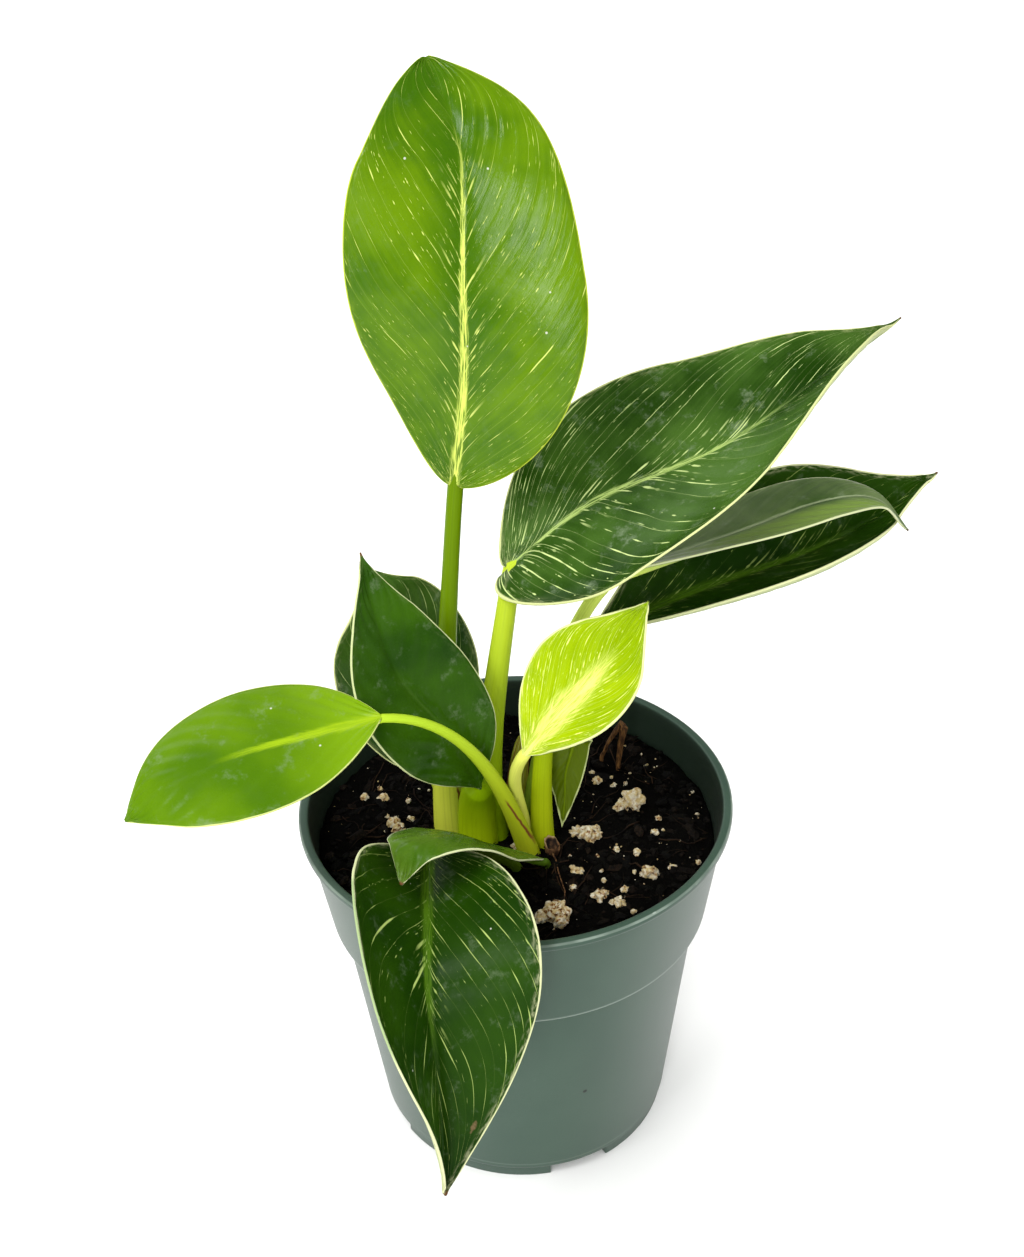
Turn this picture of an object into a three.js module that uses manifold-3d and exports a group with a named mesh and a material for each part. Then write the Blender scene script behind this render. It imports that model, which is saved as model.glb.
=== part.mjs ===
// A potted philodendron birkin: a round nursery pot filled with soil, eleven leaves on their
// stalks, one dry sheath, one cut stalk and a curled bit of bark. Millimetres, +Z up, with the
// origin where the axis of the pot meets the table. The front of the plant looks along -Y.
import * as THREE from 'three';
import { mergeVertices } from 'three/addons/utils/BufferGeometryUtils.js';
import Module from 'manifold-3d';

const wasm = await Module();
wasm.setup();

// ---------------------------------------------------------------- driving dimensions
const POT_HEIGHT = 100.8;
const LIP_RADIUS = 57;            // outside of the rolled lip at the very top
const LIP_WIDTH = 2.4;            // flat top of the lip, measured across
const LIP_HEIGHT = 2;
const BAND_TOP_RADIUS = 55.4;     // the wide band under the lip
const BAND_FOOT_RADIUS = 50.9;
const BAND_FOOT_HEIGHT = 69.8;    // height of the step between the band and the body
const BODY_TOP_RADIUS = 48.4;
const BODY_FOOT_RADIUS = 40.4;
const WALL = 1.5;
const FOOT_HEIGHT = 3.4;          // the ring of feet that the pot stands on
const FOOT_RADIUS = 39.6;
const FOOT_WALL = 3;
const FOOT_GAPS = 4;              // notches in the ring of feet
const FOOT_GAP_WIDTH = 16;
const FOOT_GAP_ANGLE = -70;       // degrees from +X to the middle of the first notch
const PAD_RADIUS = 9;             // flat pad in the middle of the underside
const DRAIN_RADIUS = 3;
const DRAIN_CIRCLE = 24;
const SOIL_LEVEL = 91;
const SOIL_WAVE = 0.7;            // how far the top of the soil rises and dips
const LUMPY_REACH = 46;           // small lumps lie within this distance of the middle
const LUMPS_SMALL = 10;
const BLADE_THICKNESS = 0.7;
const GAP = 0.3;                  // air left wherever one piece rests against another
const BLADE_ROOM = 3 * GAP;       // how much thicker than the blade the slot is in its stalk
const ROUND_STEPS = 40;           // facets around the pot
const DRAIN_STEPS = 12;
const GREEN_DARK = 0x1d4a1c;
const GREEN_MID = 0x3f7d12;
const GREEN_LIME = 0x9ccb1e;
const STALK_GREEN = 0x8db52a;
const POT_GREEN = 0x587064;
const SOIL_BLACK = 0x14100d;
const SHEATH_OLIVE = 0x8a7a3a;
const CUT_BROWN = 0x6b4a2a;
const BARK_BROWN = 0x6a3c1c;

// ---------------------------------------------------------------- solids
function solidOf(geometry) {
  const plain = geometry.clone();
  plain.deleteAttribute('normal');
  plain.deleteAttribute('uv');
  const merged = mergeVertices(plain, 1e-4);
  return new wasm.Manifold(new wasm.Mesh({
    numProp: 3,
    vertProperties: new Float32Array(merged.attributes.position.array),
    triVerts: new Uint32Array(merged.index.array),
  }));
}

function largestOf(solid) {
  return solid.decompose().reduce((best, piece) => (piece.volume() > best.volume() ? piece : best));
}

function meshOf(solid, name, color, roughness) {
  const data = solid.getMesh();
  const geometry = new THREE.BufferGeometry();
  geometry.setAttribute('position', new THREE.BufferAttribute(new Float32Array(data.vertProperties), 3));
  geometry.setIndex(new THREE.BufferAttribute(new Uint32Array(data.triVerts), 1));
  geometry.computeVertexNormals();
  const material = new THREE.MeshStandardMaterial({ color, roughness, metalness: 0 });
  const mesh = new THREE.Mesh(geometry, material);
  mesh.name = name;
  return mesh;
}

function geometryFrom(points, faces) {
  const geometry = new THREE.BufferGeometry();
  const numbers = new Float32Array(points.flatMap((point) => point.toArray()));
  geometry.setAttribute('position', new THREE.BufferAttribute(numbers, 3));
  geometry.setIndex(faces.flat());
  return geometry;
}

// The same numbers on every run, so what looks scattered stays where it is.
function seededRandom(seed) {
  let state = seed;
  return () => {
    state = (state * 1664525 + 1013904223) % 4294967296;
    return state / 4294967296;
  };
}

function vector(list) {
  return new THREE.Vector3(...list);
}

function curveThrough(path) {
  return new THREE.CubicBezierCurve3(...path.map(vector));
}

// A round stalk along a curve, closed by a flat end at its foot and at its top. With extra it is
// that much larger all round, for the room that other pieces leave it.
function stalk(curve, radiusAt, extra = 0, steps = 9, sides = 9, flatness = 1) {
  const frames = curve.computeFrenetFrames(steps, false);
  const centres = [];
  const points = [];
  const faces = [];
  for (let i = 0; i <= steps; i += 1) {
    const end = Number(i === steps) - Number(i === 0);
    const centre = curve.getPointAt(i / steps).addScaledVector(frames.tangents[i], end * extra);
    const radius = radiusAt(i / steps) + extra;
    centres.push(centre);
    for (let k = 0; k < sides; k += 1) {
      const angle = (2 * Math.PI * k) / sides;
      points.push(centre.clone()
        .addScaledVector(frames.normals[i], radius * Math.cos(angle))
        .addScaledVector(frames.binormals[i], flatness * radius * Math.sin(angle)));
    }
  }
  for (let i = 0; i < steps; i += 1) {
    for (let k = 0; k < sides; k += 1) {
      const [a, b] = [i * sides + k, i * sides + ((k + 1) % sides)];
      faces.push([a, b, b + sides], [a, b + sides, a + sides]);
    }
  }
  const foot = points.push(centres[0]) - 1;
  const top = points.push(centres[steps]) - 1;
  for (let k = 0; k < sides; k += 1) {
    const next = (k + 1) % sides;
    faces.push([foot, next, k], [top, steps * sides + k, steps * sides + next]);
  }
  return solidOf(geometryFrom(points, faces));
}

// ---------------------------------------------------------------- pot
// The pot is hollow, with a wall of even thickness that follows the step from body to band.
const POT_FLOOR = FOOT_HEIGHT + WALL;
const STEP_FOOT = BAND_FOOT_HEIGHT - 1;
const STEP_TOP = BAND_FOOT_HEIGHT + 1;

function innerRadius(height) {
  const bandRise = (height - BAND_FOOT_HEIGHT) / (POT_HEIGHT - LIP_HEIGHT - BAND_FOOT_HEIGHT);
  const bodyRise = height / BAND_FOOT_HEIGHT;
  const band = BAND_FOOT_RADIUS + (BAND_TOP_RADIUS - BAND_FOOT_RADIUS) * bandRise;
  const body = BODY_FOOT_RADIUS + (BODY_TOP_RADIUS - BODY_FOOT_RADIUS) * bodyRise;
  return (height > BAND_FOOT_HEIGHT ? band : body) - WALL;
}

function buildPot() {
  const lipFoot = POT_HEIGHT - LIP_HEIGHT;
  const section = [
    [0, 0], [PAD_RADIUS, 0], [PAD_RADIUS, FOOT_HEIGHT],
    [FOOT_RADIUS - FOOT_WALL, FOOT_HEIGHT], [FOOT_RADIUS - FOOT_WALL, 0],
    [FOOT_RADIUS, 0], [FOOT_RADIUS, FOOT_HEIGHT],
    [BODY_FOOT_RADIUS, FOOT_HEIGHT], [BODY_TOP_RADIUS, BAND_FOOT_HEIGHT],
    [BAND_FOOT_RADIUS, BAND_FOOT_HEIGHT], [BAND_TOP_RADIUS, lipFoot],
    [LIP_RADIUS, lipFoot], [LIP_RADIUS, POT_HEIGHT], [LIP_RADIUS - LIP_WIDTH, POT_HEIGHT],
    ...[lipFoot, STEP_TOP, STEP_FOOT, POT_FLOOR].map((height) => [innerRadius(height), height]),
    [0, POT_FLOOR],
  ];
  const lathe = new THREE.LatheGeometry(section.map(([r, z]) => new THREE.Vector2(r, z)), ROUND_STEPS);
  let pot = solidOf(lathe.rotateX(Math.PI / 2));
  for (let i = 0; i < FOOT_GAPS; i += 1) {
    const angle = THREE.MathUtils.degToRad(FOOT_GAP_ANGLE + (360 / FOOT_GAPS) * i);
    const notch = new THREE.BoxGeometry(3 * FOOT_WALL, FOOT_GAP_WIDTH, 2 * FOOT_HEIGHT);
    notch.translate(FOOT_RADIUS - FOOT_WALL, 0, 0).rotateZ(angle);
    const drain = new THREE.CylinderGeometry(DRAIN_RADIUS, DRAIN_RADIUS, 4 * POT_FLOOR, DRAIN_STEPS);
    drain.rotateX(Math.PI / 2).translate(DRAIN_CIRCLE, 0, 0).rotateZ(angle);
    pot = pot.subtract(solidOf(notch)).subtract(solidOf(drain));
  }
  return pot;
}

// ---------------------------------------------------------------- leaves
// Each leaf is one blade on one stalk. midrib has five points that the middle of the blade runs
// through, from where the stalk meets it (base) to the tip. face is the way that the upper side
// looks at the base and at the tip. shoulder and taper shape the outline towards the base and
// the tip, and lobe is how far the two shoulders reach back beside the stalk. skew is how much
// wider the right half is than the left, at the base and at the tip, as a share. fold is the
// slope beside the midrib, of the right half at the base and the tip and then of the left half,
// and curl is how much more the right and left half have gained at the margin, all in radians.
// stalk holds the foot in the soil and two guiding points.
const leaves = {
  tall: {
    midrib: [[-12, 11, 189], [-8.5, 10, 215.5], [-7.5, 13, 241], [-7, 21, 268.5], [-14, 37.5, 284.5]],
    face: [[-0.2, -0.85, 0.5], [0.05, -0.65, 0.75]],
    halfWidth: 27.5, shoulder: 0.75, taper: 0.8, lobe: 1.5, skew: [0.25, -0.2],
    fold: [[0.1, 0.05], [0.15, 0.2]], curl: [-0.2, -0.15],
    stalk: [[-16, -1, 84], [-17.5, 2, 119.5], [-13, 4.5, 155]],
    footRadius: 2.9, topRadius: 2, color: GREEN_MID,
  },
  broad_right: {
    midrib: [[1, 12.5, 165], [22, 18, 179], [56, 26.5, 189.5], [85, 39, 204.5], [103, 53, 210]],
    face: [[-0.05, -0.65, 0.75], [-0.35, -0.05, 0.95]],
    halfWidth: 30.5, shoulder: 1.05, taper: 1.75, lobe: 1, skew: [0.25, -0.15],
    fold: [[0.15, 0.85], [0.2, 0.3]], curl: [0.25, 0.2],
    stalk: [[-5, -2.5, 84], [-7, -1.5, 113], [-3, 7, 141]],
    footRadius: 3.2, topRadius: 1.7, color: GREEN_DARK,
  },
  rear_right: {
    midrib: [[21.5, 15.5, 141.5], [50, 25, 147.5], [77.5, 33, 152.5], [99, 44, 157], [116, 50, 166.5]],
    face: [[-0.1, -0.4, 0.9], [-0.1, -0.3, 0.95]],
    halfWidth: 25.5, shoulder: 1.1, taper: 1.4, lobe: 1, skew: [0.05, 0],
    fold: [[0.55, 0.75], [0.6, 0.7]], curl: [0.55, 0.4],
    stalk: [[3.5, -1.5, 84], [2.5, -4, 106], [9, 9, 126]],
    footRadius: 1.7, topRadius: 1.5, color: GREEN_DARK,
  },
  arching_right: {
    midrib: [[26, 10, 163], [56.5, 14, 171], [79, 20.5, 175.5], [94.5, 26.5, 172.5], [104, 28, 161.5]],
    face: [[-0.1, 0, 1], [0.45, -0.35, 0.8]],
    halfWidth: 17, shoulder: 0.35, taper: 1.3, lobe: 0, skew: [-0.1, 0],
    fold: [[0.45, 0.2], [-0.15, -0.35]], curl: [0.35, -0.25],
    stalk: [[7, -6.5, 84], [6, -6, 111.5], [7, 2, 143.5]],
    footRadius: 2.5, topRadius: 1.5, color: GREEN_DARK,
  },
  dark_left: {
    midrib: [[-8.5, -11, 112.5], [-15, -13, 131], [-26, -13, 148], [-31.5, -10, 165], [-34.5, -6, 179.5]],
    face: [[0.15, -0.9, 0.45], [0.25, -0.8, 0.55]],
    halfWidth: 16, shoulder: 1.05, taper: 1.45, lobe: -1, skew: [-0.15, 0.2],
    fold: [[0.1, 0], [0.3, 0.4]], curl: [0, 0.3],
    stalk: [[-10.5, -5, 84], [-11, -4, 94], [-9.5, -7, 104]],
    footRadius: 3.3, topRadius: 1.7, color: GREEN_DARK,
  },
  behind_left: {
    midrib: [
      [-23.5, 8.5, 106.5], [-25.5, 13, 125.5], [-27.5, 14.5, 143], [-31, 13, 157.5], [-37, 19.5, 162.5],
    ],
    face: [[0.05, -0.8, 0.55], [-0.05, -0.55, 0.85]],
    halfWidth: 19.5, shoulder: 0.7, taper: 1.4, lobe: 2.5, skew: [0, -0.05],
    fold: [[-0.2, -0.45], [-0.05, -0.1]], curl: [-0.2, -0.1],
    stalk: [[-19.5, 1, 84], [-18.5, -0.5, 93.5], [-18.5, 7.5, 98]],
    footRadius: 2.2, topRadius: 1.3, color: GREEN_DARK,
  },
  reaching_left: {
    midrib: [
      [-30.5, -28, 149], [-47.5, -31.5, 147], [-65, -36.5, 145.5], [-81, -41.5, 141.5], [-91, -44.5, 133.5],
    ],
    face: [[-0.15, -0.4, 0.9], [-0.4, -0.45, 0.8]],
    halfWidth: 18, shoulder: 0.8, taper: 1, lobe: -0.5, skew: [0.1, -0.05],
    fold: [[-0.1, -0.15], [0, -0.1]], curl: [-0.1, 0],
    stalk: [[1, -10.5, 84], [4.5, -9, 106], [-11, -19.5, 139]],
    footRadius: 2.6, topRadius: 1.1, color: GREEN_LIME,
  },
  young_lime: {
    midrib: [[2.5, -17.5, 128], [11, -14.5, 137], [20, -11, 145.5], [27.5, -7, 154], [34, -6, 164.5]],
    face: [[0, -0.75, 0.65], [0.05, -0.75, 0.65]],
    halfWidth: 15, shoulder: 1.15, taper: 1.25, lobe: 0.5, skew: [-0.05, -0.05],
    fold: [[0.55, 0.55], [0.25, 0.25]], curl: [0.5, 0.1],
    stalk: [[2.5, -5.5, 84], [4, -4, 100.5], [-3.5, -10.5, 113]],
    footRadius: 1.4, topRadius: 1.1, color: GREEN_LIME,
  },
  hanging_front: {
    midrib: [[-22, -27, 106.5], [-22, -49.5, 106], [-22, -67, 98], [-20.5, -77, 77], [-20, -85, 47.5]],
    face: [[-0.2, -0.3, 0.95], [0.5, -0.7, 0.55]],
    halfWidth: 28.5, shoulder: 0.8, taper: 1.1, lobe: 0, skew: [0.05, 0],
    fold: [[0.7, 0.95], [0.25, 0.4]], curl: [0.7, 0.15],
    stalk: [[-0.5, -16, 84], [5, -14.5, 95.5], [-16.5, -22.5, 102]],
    footRadius: 1.7, topRadius: 1.3, color: GREEN_DARK,
  },
  small_folded: {
    midrib: [[7, -18.5, 95], [-5, -25.5, 106], [-15, -34.5, 118], [-24, -45.5, 124], [-27.5, -51, 116.5]],
    face: [[-0.05, 0.2, 1], [-0.45, -0.65, 0.65]],
    halfWidth: 11, shoulder: 1.1, taper: 1.1, lobe: 0, skew: [0.05, 0.15],
    fold: [[-0.25, -0.3], [-0.05, -0.1]], curl: [-0.05, 0.05],
    stalk: [[8, -15.5, 84], [8, -16, 88], [8, -17, 92.5]],
    footRadius: 1.3, topRadius: 1, color: GREEN_MID,
  },
  small_drooping: {
    midrib: [[15.5, 10, 118.5], [15.5, 5.5, 115], [13.5, 2, 108], [13, -1, 101.5], [12, -5, 94.5]],
    face: [[0.15, 0.5, 0.85], [0, 1, 0.1]],
    halfWidth: 5.5, shoulder: 0.6, taper: 1.15, lobe: 0, skew: [0, 0.05],
    fold: [[0.1, 0.05], [0.1, 0.1]], curl: [0.05, 0.1],
    stalk: [[7, 3.5, 84], [7.5, 5, 98], [11.5, 10, 114]],
    footRadius: 1.2, topRadius: 0.9, color: GREEN_MID,
  },
};
const BLADE_START = 0.004;        // share of the midrib where the blade begins, just past the stalk
const BLADE_END = 0.997;
const LOBE_PLACE = 0.04;          // share of the midrib where the shoulders reach back furthest
const FLARE_POWER = 2.2;          // how quickly a stalk slims above its sheath
const FLAT_BELOW = 6;             // a blade narrower than this loses its fold towards its ends
const CROWDING = 0.85;            // how much closer the rows of points stand at both ends
const LONG_BLADE = 80;            // a longer blade than this has more rows and columns

function midribOf(leaf) {
  return new THREE.CatmullRomCurve3(leaf.midrib.map(vector), false, 'catmullrom', 0.5);
}

// The middle surface of a blade: one row of points for each station from base to tip.
function bladeRows(leaf, stations, half, widen = 0) {
  const curve = midribOf(leaf);
  const [faceBase, faceTip] = leaf.face.map(vector);
  const peak = leaf.shoulder / (leaf.shoulder + leaf.taper);
  const profile = (u) => u ** leaf.shoulder * (1 - u) ** leaf.taper;
  const rows = [];
  for (let i = 0; i <= stations; i += 1) {
    const even = i / stations;
    const crowded = 0.5 * (1 - Math.cos(Math.PI * even));
    const u = BLADE_START + (BLADE_END - BLADE_START) * (even + CROWDING * (crowded - even));
    const centre = curve.getPoint(u);
    const along = curve.getTangent(u);
    const face = faceBase.clone().lerp(faceTip, u);
    face.addScaledVector(along, -face.dot(along)).normalize();
    const side = along.clone().cross(face);
    const evenWidth = (leaf.halfWidth * profile(u)) / profile(peak);
    const skew = THREE.MathUtils.lerp(...leaf.skew, u);
    const opening = Math.min(1, evenWidth / FLAT_BELOW);
    const back = leaf.lobe * Math.sqrt(u / LOBE_PLACE) * Math.exp(0.5 * (1 - u / LOBE_PLACE));
    const row = [centre];
    for (const [sign, at] of [[1, 0], [-1, 1]]) {
      const width = evenWidth * (1 + sign * skew) + widen;
      const fold = THREE.MathUtils.lerp(...leaf.fold[at], u);
      let [across, up] = [0, 0];
      for (let k = 1; k <= half; k += 1) {
        const slope = opening * (fold + leaf.curl[at] * ((k - 0.5) / half) ** 3);
        across += Math.cos(slope) / half;
        up += Math.sin(slope) / half;
        const point = centre.clone()
          .addScaledVector(side, sign * width * across)
          .addScaledVector(face, width * up)
          .addScaledVector(along, -back * (k / half) ** 1.5);
        if (sign > 0) row.push(point);
        else row.unshift(point);
      }
    }
    if (i === 0) row.forEach((point) => point.addScaledVector(along, -widen));
    rows.push(row);
  }
  return rows;
}

// A closed sheet of even thickness around the rows, with both faces split alike.
function sheet(rows, thickness) {
  const columns = rows[0].length;
  const points = [];
  for (const side of [0.5, -0.5]) {
    rows.forEach((row, i) => row.forEach((point, k) => {
      const along = rows[Math.min(i + 1, rows.length - 1)][k].clone().sub(rows[Math.max(i - 1, 0)][k]);
      const across = row[Math.min(k + 1, columns - 1)].clone().sub(row[Math.max(k - 1, 0)]);
      points.push(point.clone().addScaledVector(across.cross(along).normalize(), side * thickness));
    }));
  }
  const under = rows.length * columns;
  const faces = [];
  const quad = (a, b, c, d) => faces.push([a, b, c], [a, c, d]);
  for (let i = 0; i + 1 < rows.length; i += 1) {
    for (let k = 0; k + 1 < columns; k += 1) {
      const a = i * columns + k;
      quad(a, a + 1, a + 1 + columns, a + columns);
      faces.push([a + under, a + 1 + columns + under, a + 1 + under]);
      faces.push([a + under, a + columns + under, a + 1 + columns + under]);
    }
    const [left, right] = [i * columns, i * columns + columns - 1];
    quad(left, left + columns, left + columns + under, left + under);
    quad(right, right + under, right + columns + under, right + columns);
  }
  const last = (rows.length - 1) * columns;
  for (let k = 0; k + 1 < columns; k += 1) {
    quad(k, k + under, k + 1 + under, k + 1);
    quad(last + k, last + k + 1, last + k + 1 + under, last + k + under);
  }
  return solidOf(geometryFrom(points, faces));
}

function buildBlade(leaf, thickness = BLADE_THICKNESS, widen = 0) {
  const isLong = midribOf(leaf).getLength() > LONG_BLADE;
  const [stations, half] = isLong ? [13, 4] : [10, 3];
  return sheet(bladeRows(leaf, stations, half, widen), thickness);
}

function buildStalk(leaf, extra = 0) {
  const curve = curveThrough([...leaf.stalk, leaf.midrib[0]]);
  const radiusAt = (u) => leaf.topRadius + (leaf.footRadius - leaf.topRadius) * (1 - u) ** FLARE_POWER;
  return stalk(curve, radiusAt, extra);
}

// ---------------------------------------------------------------- small pieces at the crown
const extras = {
  dry_sheath: {
    path: [[-0.2, 0.4, 84], [0, 0.4, 95], [0.5, 1, 107], [4, 4.2, 117]],
    radiusAt: (u) => 1.9 - 1.2 * u ** 2, flatness: 0.7, color: SHEATH_OLIVE,
  },
  cut_stalk: {
    path: [[9, -10.4, 84], [9, -10.4, 87], [9.2, -10.7, 90], [9.4, -11, 93.5]],
    radiusAt: () => 1.6, flatness: 1, color: CUT_BROWN,
  },
  bark_curl: {
    path: [[29.5, 24, 86], [31, 25, 104], [27.5, 26, 106], [25.5, 25.5, 95.5]],
    radiusAt: (u) => 1.1 + 0.3 * Math.sin(3 * Math.PI * u), flatness: 0.7, color: BARK_BROWN,
  },
};

function buildExtra(extra, grow = 0) {
  return stalk(curveThrough(extra.path), extra.radiusAt, grow, 7, 8, extra.flatness);
}

// ---------------------------------------------------------------- soil
// Coarse white grains, bark and clods that stand out of the soil: x, y and radius of each.
const LUMPS = [
  [31.5, 7, 3.2], [28, 5, 2], [19, -4.5, 3], [16, -3, 2], [9.5, -37, 3.4], [5.5, -38, 2.2],
  [34, -21.5, 2.4], [22.5, 17.5, 1.6], [-32.5, 2.5, 1.9], [-31.5, 0, 2], [-0.5, -8, 1.2],
  [18.5, -27.5, 1.8], [24, -31, 1.6], [-38.5, 10, 1.7], [32, -10.5, 1.5],
];
const ROUND_LUMP = 2.5;           // a lump above this radius gets more facets

function buildSoil(hollows) {
  const floor = POT_FLOOR + GAP;
  const edge = innerRadius(SOIL_LEVEL);
  const wall = (height) => [innerRadius(height) - GAP, height];
  const rings = [0.8, 0.6, 0.4, 0.2].map((share) => [share * edge, SOIL_LEVEL]);
  const section = [[0, floor], wall(floor), wall(STEP_FOOT), [innerRadius(STEP_FOOT) - GAP, STEP_TOP + GAP],
    wall(SOIL_LEVEL), ...rings, [0, SOIL_LEVEL]];
  const lathe = new THREE.LatheGeometry(section.map(([r, z]) => new THREE.Vector2(r, z)), ROUND_STEPS);
  lathe.rotateX(Math.PI / 2);
  const place = lathe.attributes.position;
  for (let i = 0; i < place.count; i += 1) {
    const [x, y, z] = [place.getX(i), place.getY(i), place.getZ(i)];
    const wave = Math.sin(0.23 * x + 1.3) * Math.cos(0.19 * y) + 0.6 * Math.sin(0.41 * y - 0.3 * x);
    if (z === SOIL_LEVEL && Math.hypot(x, y) < 0.9 * edge) place.setZ(i, z + SOIL_WAVE * wave);
  }
  let soil = solidOf(lathe);
  const random = seededRandom(11);
  const lumps = [...LUMPS];
  for (let i = 0; i < LUMPS_SMALL; i += 1) {
    const reach = LUMPY_REACH * Math.sqrt(random());
    const turn = 2 * Math.PI * random();
    lumps.push([reach * Math.cos(turn), reach * Math.sin(turn), 0.9 + 0.6 * random()]);
  }
  for (const [x, y, radius] of lumps) {
    const lump = new THREE.IcosahedronGeometry(radius, radius > ROUND_LUMP ? 1 : 0);
    lump.scale(1, 0.7 + 0.3 * random(), 0.6 + 0.2 * random()).rotateZ(6 * random());
    soil = soil.add(solidOf(lump.translate(x, y, SOIL_LEVEL + 0.2 * radius)));
  }
  for (const hollow of hollows) soil = soil.subtract(hollow);
  return largestOf(soil);
}

// ---------------------------------------------------------------- the whole plant
const group = new THREE.Group();
// Where two stalks press on each other, the one that comes later in this order gives way.
const order = ['reaching_left', 'arching_right', 'dark_left', 'tall', 'young_lime', 'hanging_front',
  'small_folded', 'rear_right', 'broad_right', 'behind_left', 'small_drooping'];
const stalks = {};
const hollows = [];
const clearOfStalks = (solid) => largestOf(hollows.reduce((left, hollow) => left.subtract(hollow), solid));
for (const name of order) {
  const slot = buildBlade(leaves[name], BLADE_THICKNESS + BLADE_ROOM, BLADE_ROOM);
  stalks[name] = clearOfStalks(buildStalk(leaves[name]).subtract(slot));
  hollows.push(buildStalk(leaves[name], GAP));
}
const pieces = Object.entries(extras);
const extraSolids = pieces.map(([, extra]) => clearOfStalks(buildExtra(extra)));
hollows.push(...pieces.map(([, extra]) => buildExtra(extra, GAP)));

group.add(meshOf(buildPot(), 'pot', POT_GREEN, 0.45));
group.add(meshOf(buildSoil(hollows), 'soil', SOIL_BLACK, 0.95));
for (const name of order) {
  group.add(meshOf(stalks[name], `petiole_${name}`, STALK_GREEN, 0.5));
  group.add(meshOf(buildBlade(leaves[name]), `leaf_${name}`, leaves[name].color, 0.35));
}
pieces.forEach(([name, extra], i) => group.add(meshOf(extraSolids[i], name, extra.color, 0.8)));

export default group;
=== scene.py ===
import math
import random

import bmesh
import bpy
from mathutils import Matrix, Vector, noise
from mathutils.geometry import interpolate_bezier


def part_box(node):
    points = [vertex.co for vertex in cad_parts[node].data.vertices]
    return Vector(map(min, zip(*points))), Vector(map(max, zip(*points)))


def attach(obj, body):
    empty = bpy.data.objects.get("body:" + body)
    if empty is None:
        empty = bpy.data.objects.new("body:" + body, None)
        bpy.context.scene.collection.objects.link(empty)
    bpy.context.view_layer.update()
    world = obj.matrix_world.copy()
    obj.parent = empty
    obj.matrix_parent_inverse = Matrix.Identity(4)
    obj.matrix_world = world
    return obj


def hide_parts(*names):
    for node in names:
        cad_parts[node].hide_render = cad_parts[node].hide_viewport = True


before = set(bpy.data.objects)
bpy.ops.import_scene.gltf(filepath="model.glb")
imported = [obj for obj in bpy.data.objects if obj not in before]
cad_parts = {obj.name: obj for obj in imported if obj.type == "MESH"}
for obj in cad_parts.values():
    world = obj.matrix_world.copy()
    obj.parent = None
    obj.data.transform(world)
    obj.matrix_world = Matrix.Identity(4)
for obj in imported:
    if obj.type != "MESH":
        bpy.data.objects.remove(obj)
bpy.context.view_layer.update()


# ------------------------------------------------------------------ camera
# The plant stands on a table and is seen from the front, from above the height of its top leaf.
# The object's sizes are in millimetres, and MM turns them into metres.
MM = 0.001
CAMERA_LENS = 51.55
CAMERA_PLACE = Vector((0.8, -372.9, 397.2)) * MM
CAMERA_TILT = math.radians(56.9)
CAMERA_ROLL = math.radians(-2.08)
camera_data = bpy.data.cameras.new("camera")
camera_data.lens = CAMERA_LENS
camera = bpy.data.objects.new("camera", camera_data)
camera.location = CAMERA_PLACE
camera.rotation_euler = (
    Matrix.Rotation(CAMERA_TILT, 3, "X") @ Matrix.Rotation(CAMERA_ROLL, 3, "Z")
).to_euler()
bpy.context.scene.collection.objects.link(camera)
bpy.context.scene.camera = camera


# ------------------------------------------------------------------ studio
# A pale table top in a bright room, with soft lamps above the front and to the left. What shines
# in gloss is mostly the lamps, since the walls are far off and dim.
class Pattern:
    """A number, a place or a colour that changes over a surface. Patterns add and multiply as
    numbers do, and each step is one more node of the finish."""

    def __init__(self, finish, socket):
        self.finish = finish
        self.socket = socket

    def outlet(self, number):
        """Another result of the same node."""
        return Pattern(self.finish, self.socket.node.outputs[number])

    def math(self, operation, *others):
        return self.finish.math(operation, self, *others)

    def __add__(self, other):
        return self.math("ADD", other)

    def __sub__(self, other):
        return self.math("SUBTRACT", other)

    def __rsub__(self, other):
        return self.finish.math("SUBTRACT", other, self)

    def __mul__(self, other):
        return self.math("MULTIPLY", other)

    def __truediv__(self, other):
        return self.math("DIVIDE", other)

    def __abs__(self):
        return self.math("ABSOLUTE")

    __radd__ = __add__
    __rmul__ = __mul__

    def most(self, *others):
        """The largest of them at each point."""
        largest = self
        for other in others:
            largest = largest.math("MAXIMUM", other)
        return largest

    def rise(self, start, end):
        """0 before start and 1 past end, with a soft change between. End may lie before start."""
        limits = {"Value": self, "From Min": start, "From Max": end}
        return self.finish.node("MapRange", limits, interpolation_type="SMOOTHSTEP")

    def blend(self, first, second):
        """The first colour where this is 0, the second where it is 1."""
        return self.finish.node("Mix", {0: self, 6: first, 7: second}, output=2, data_type="RGBA")


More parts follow.
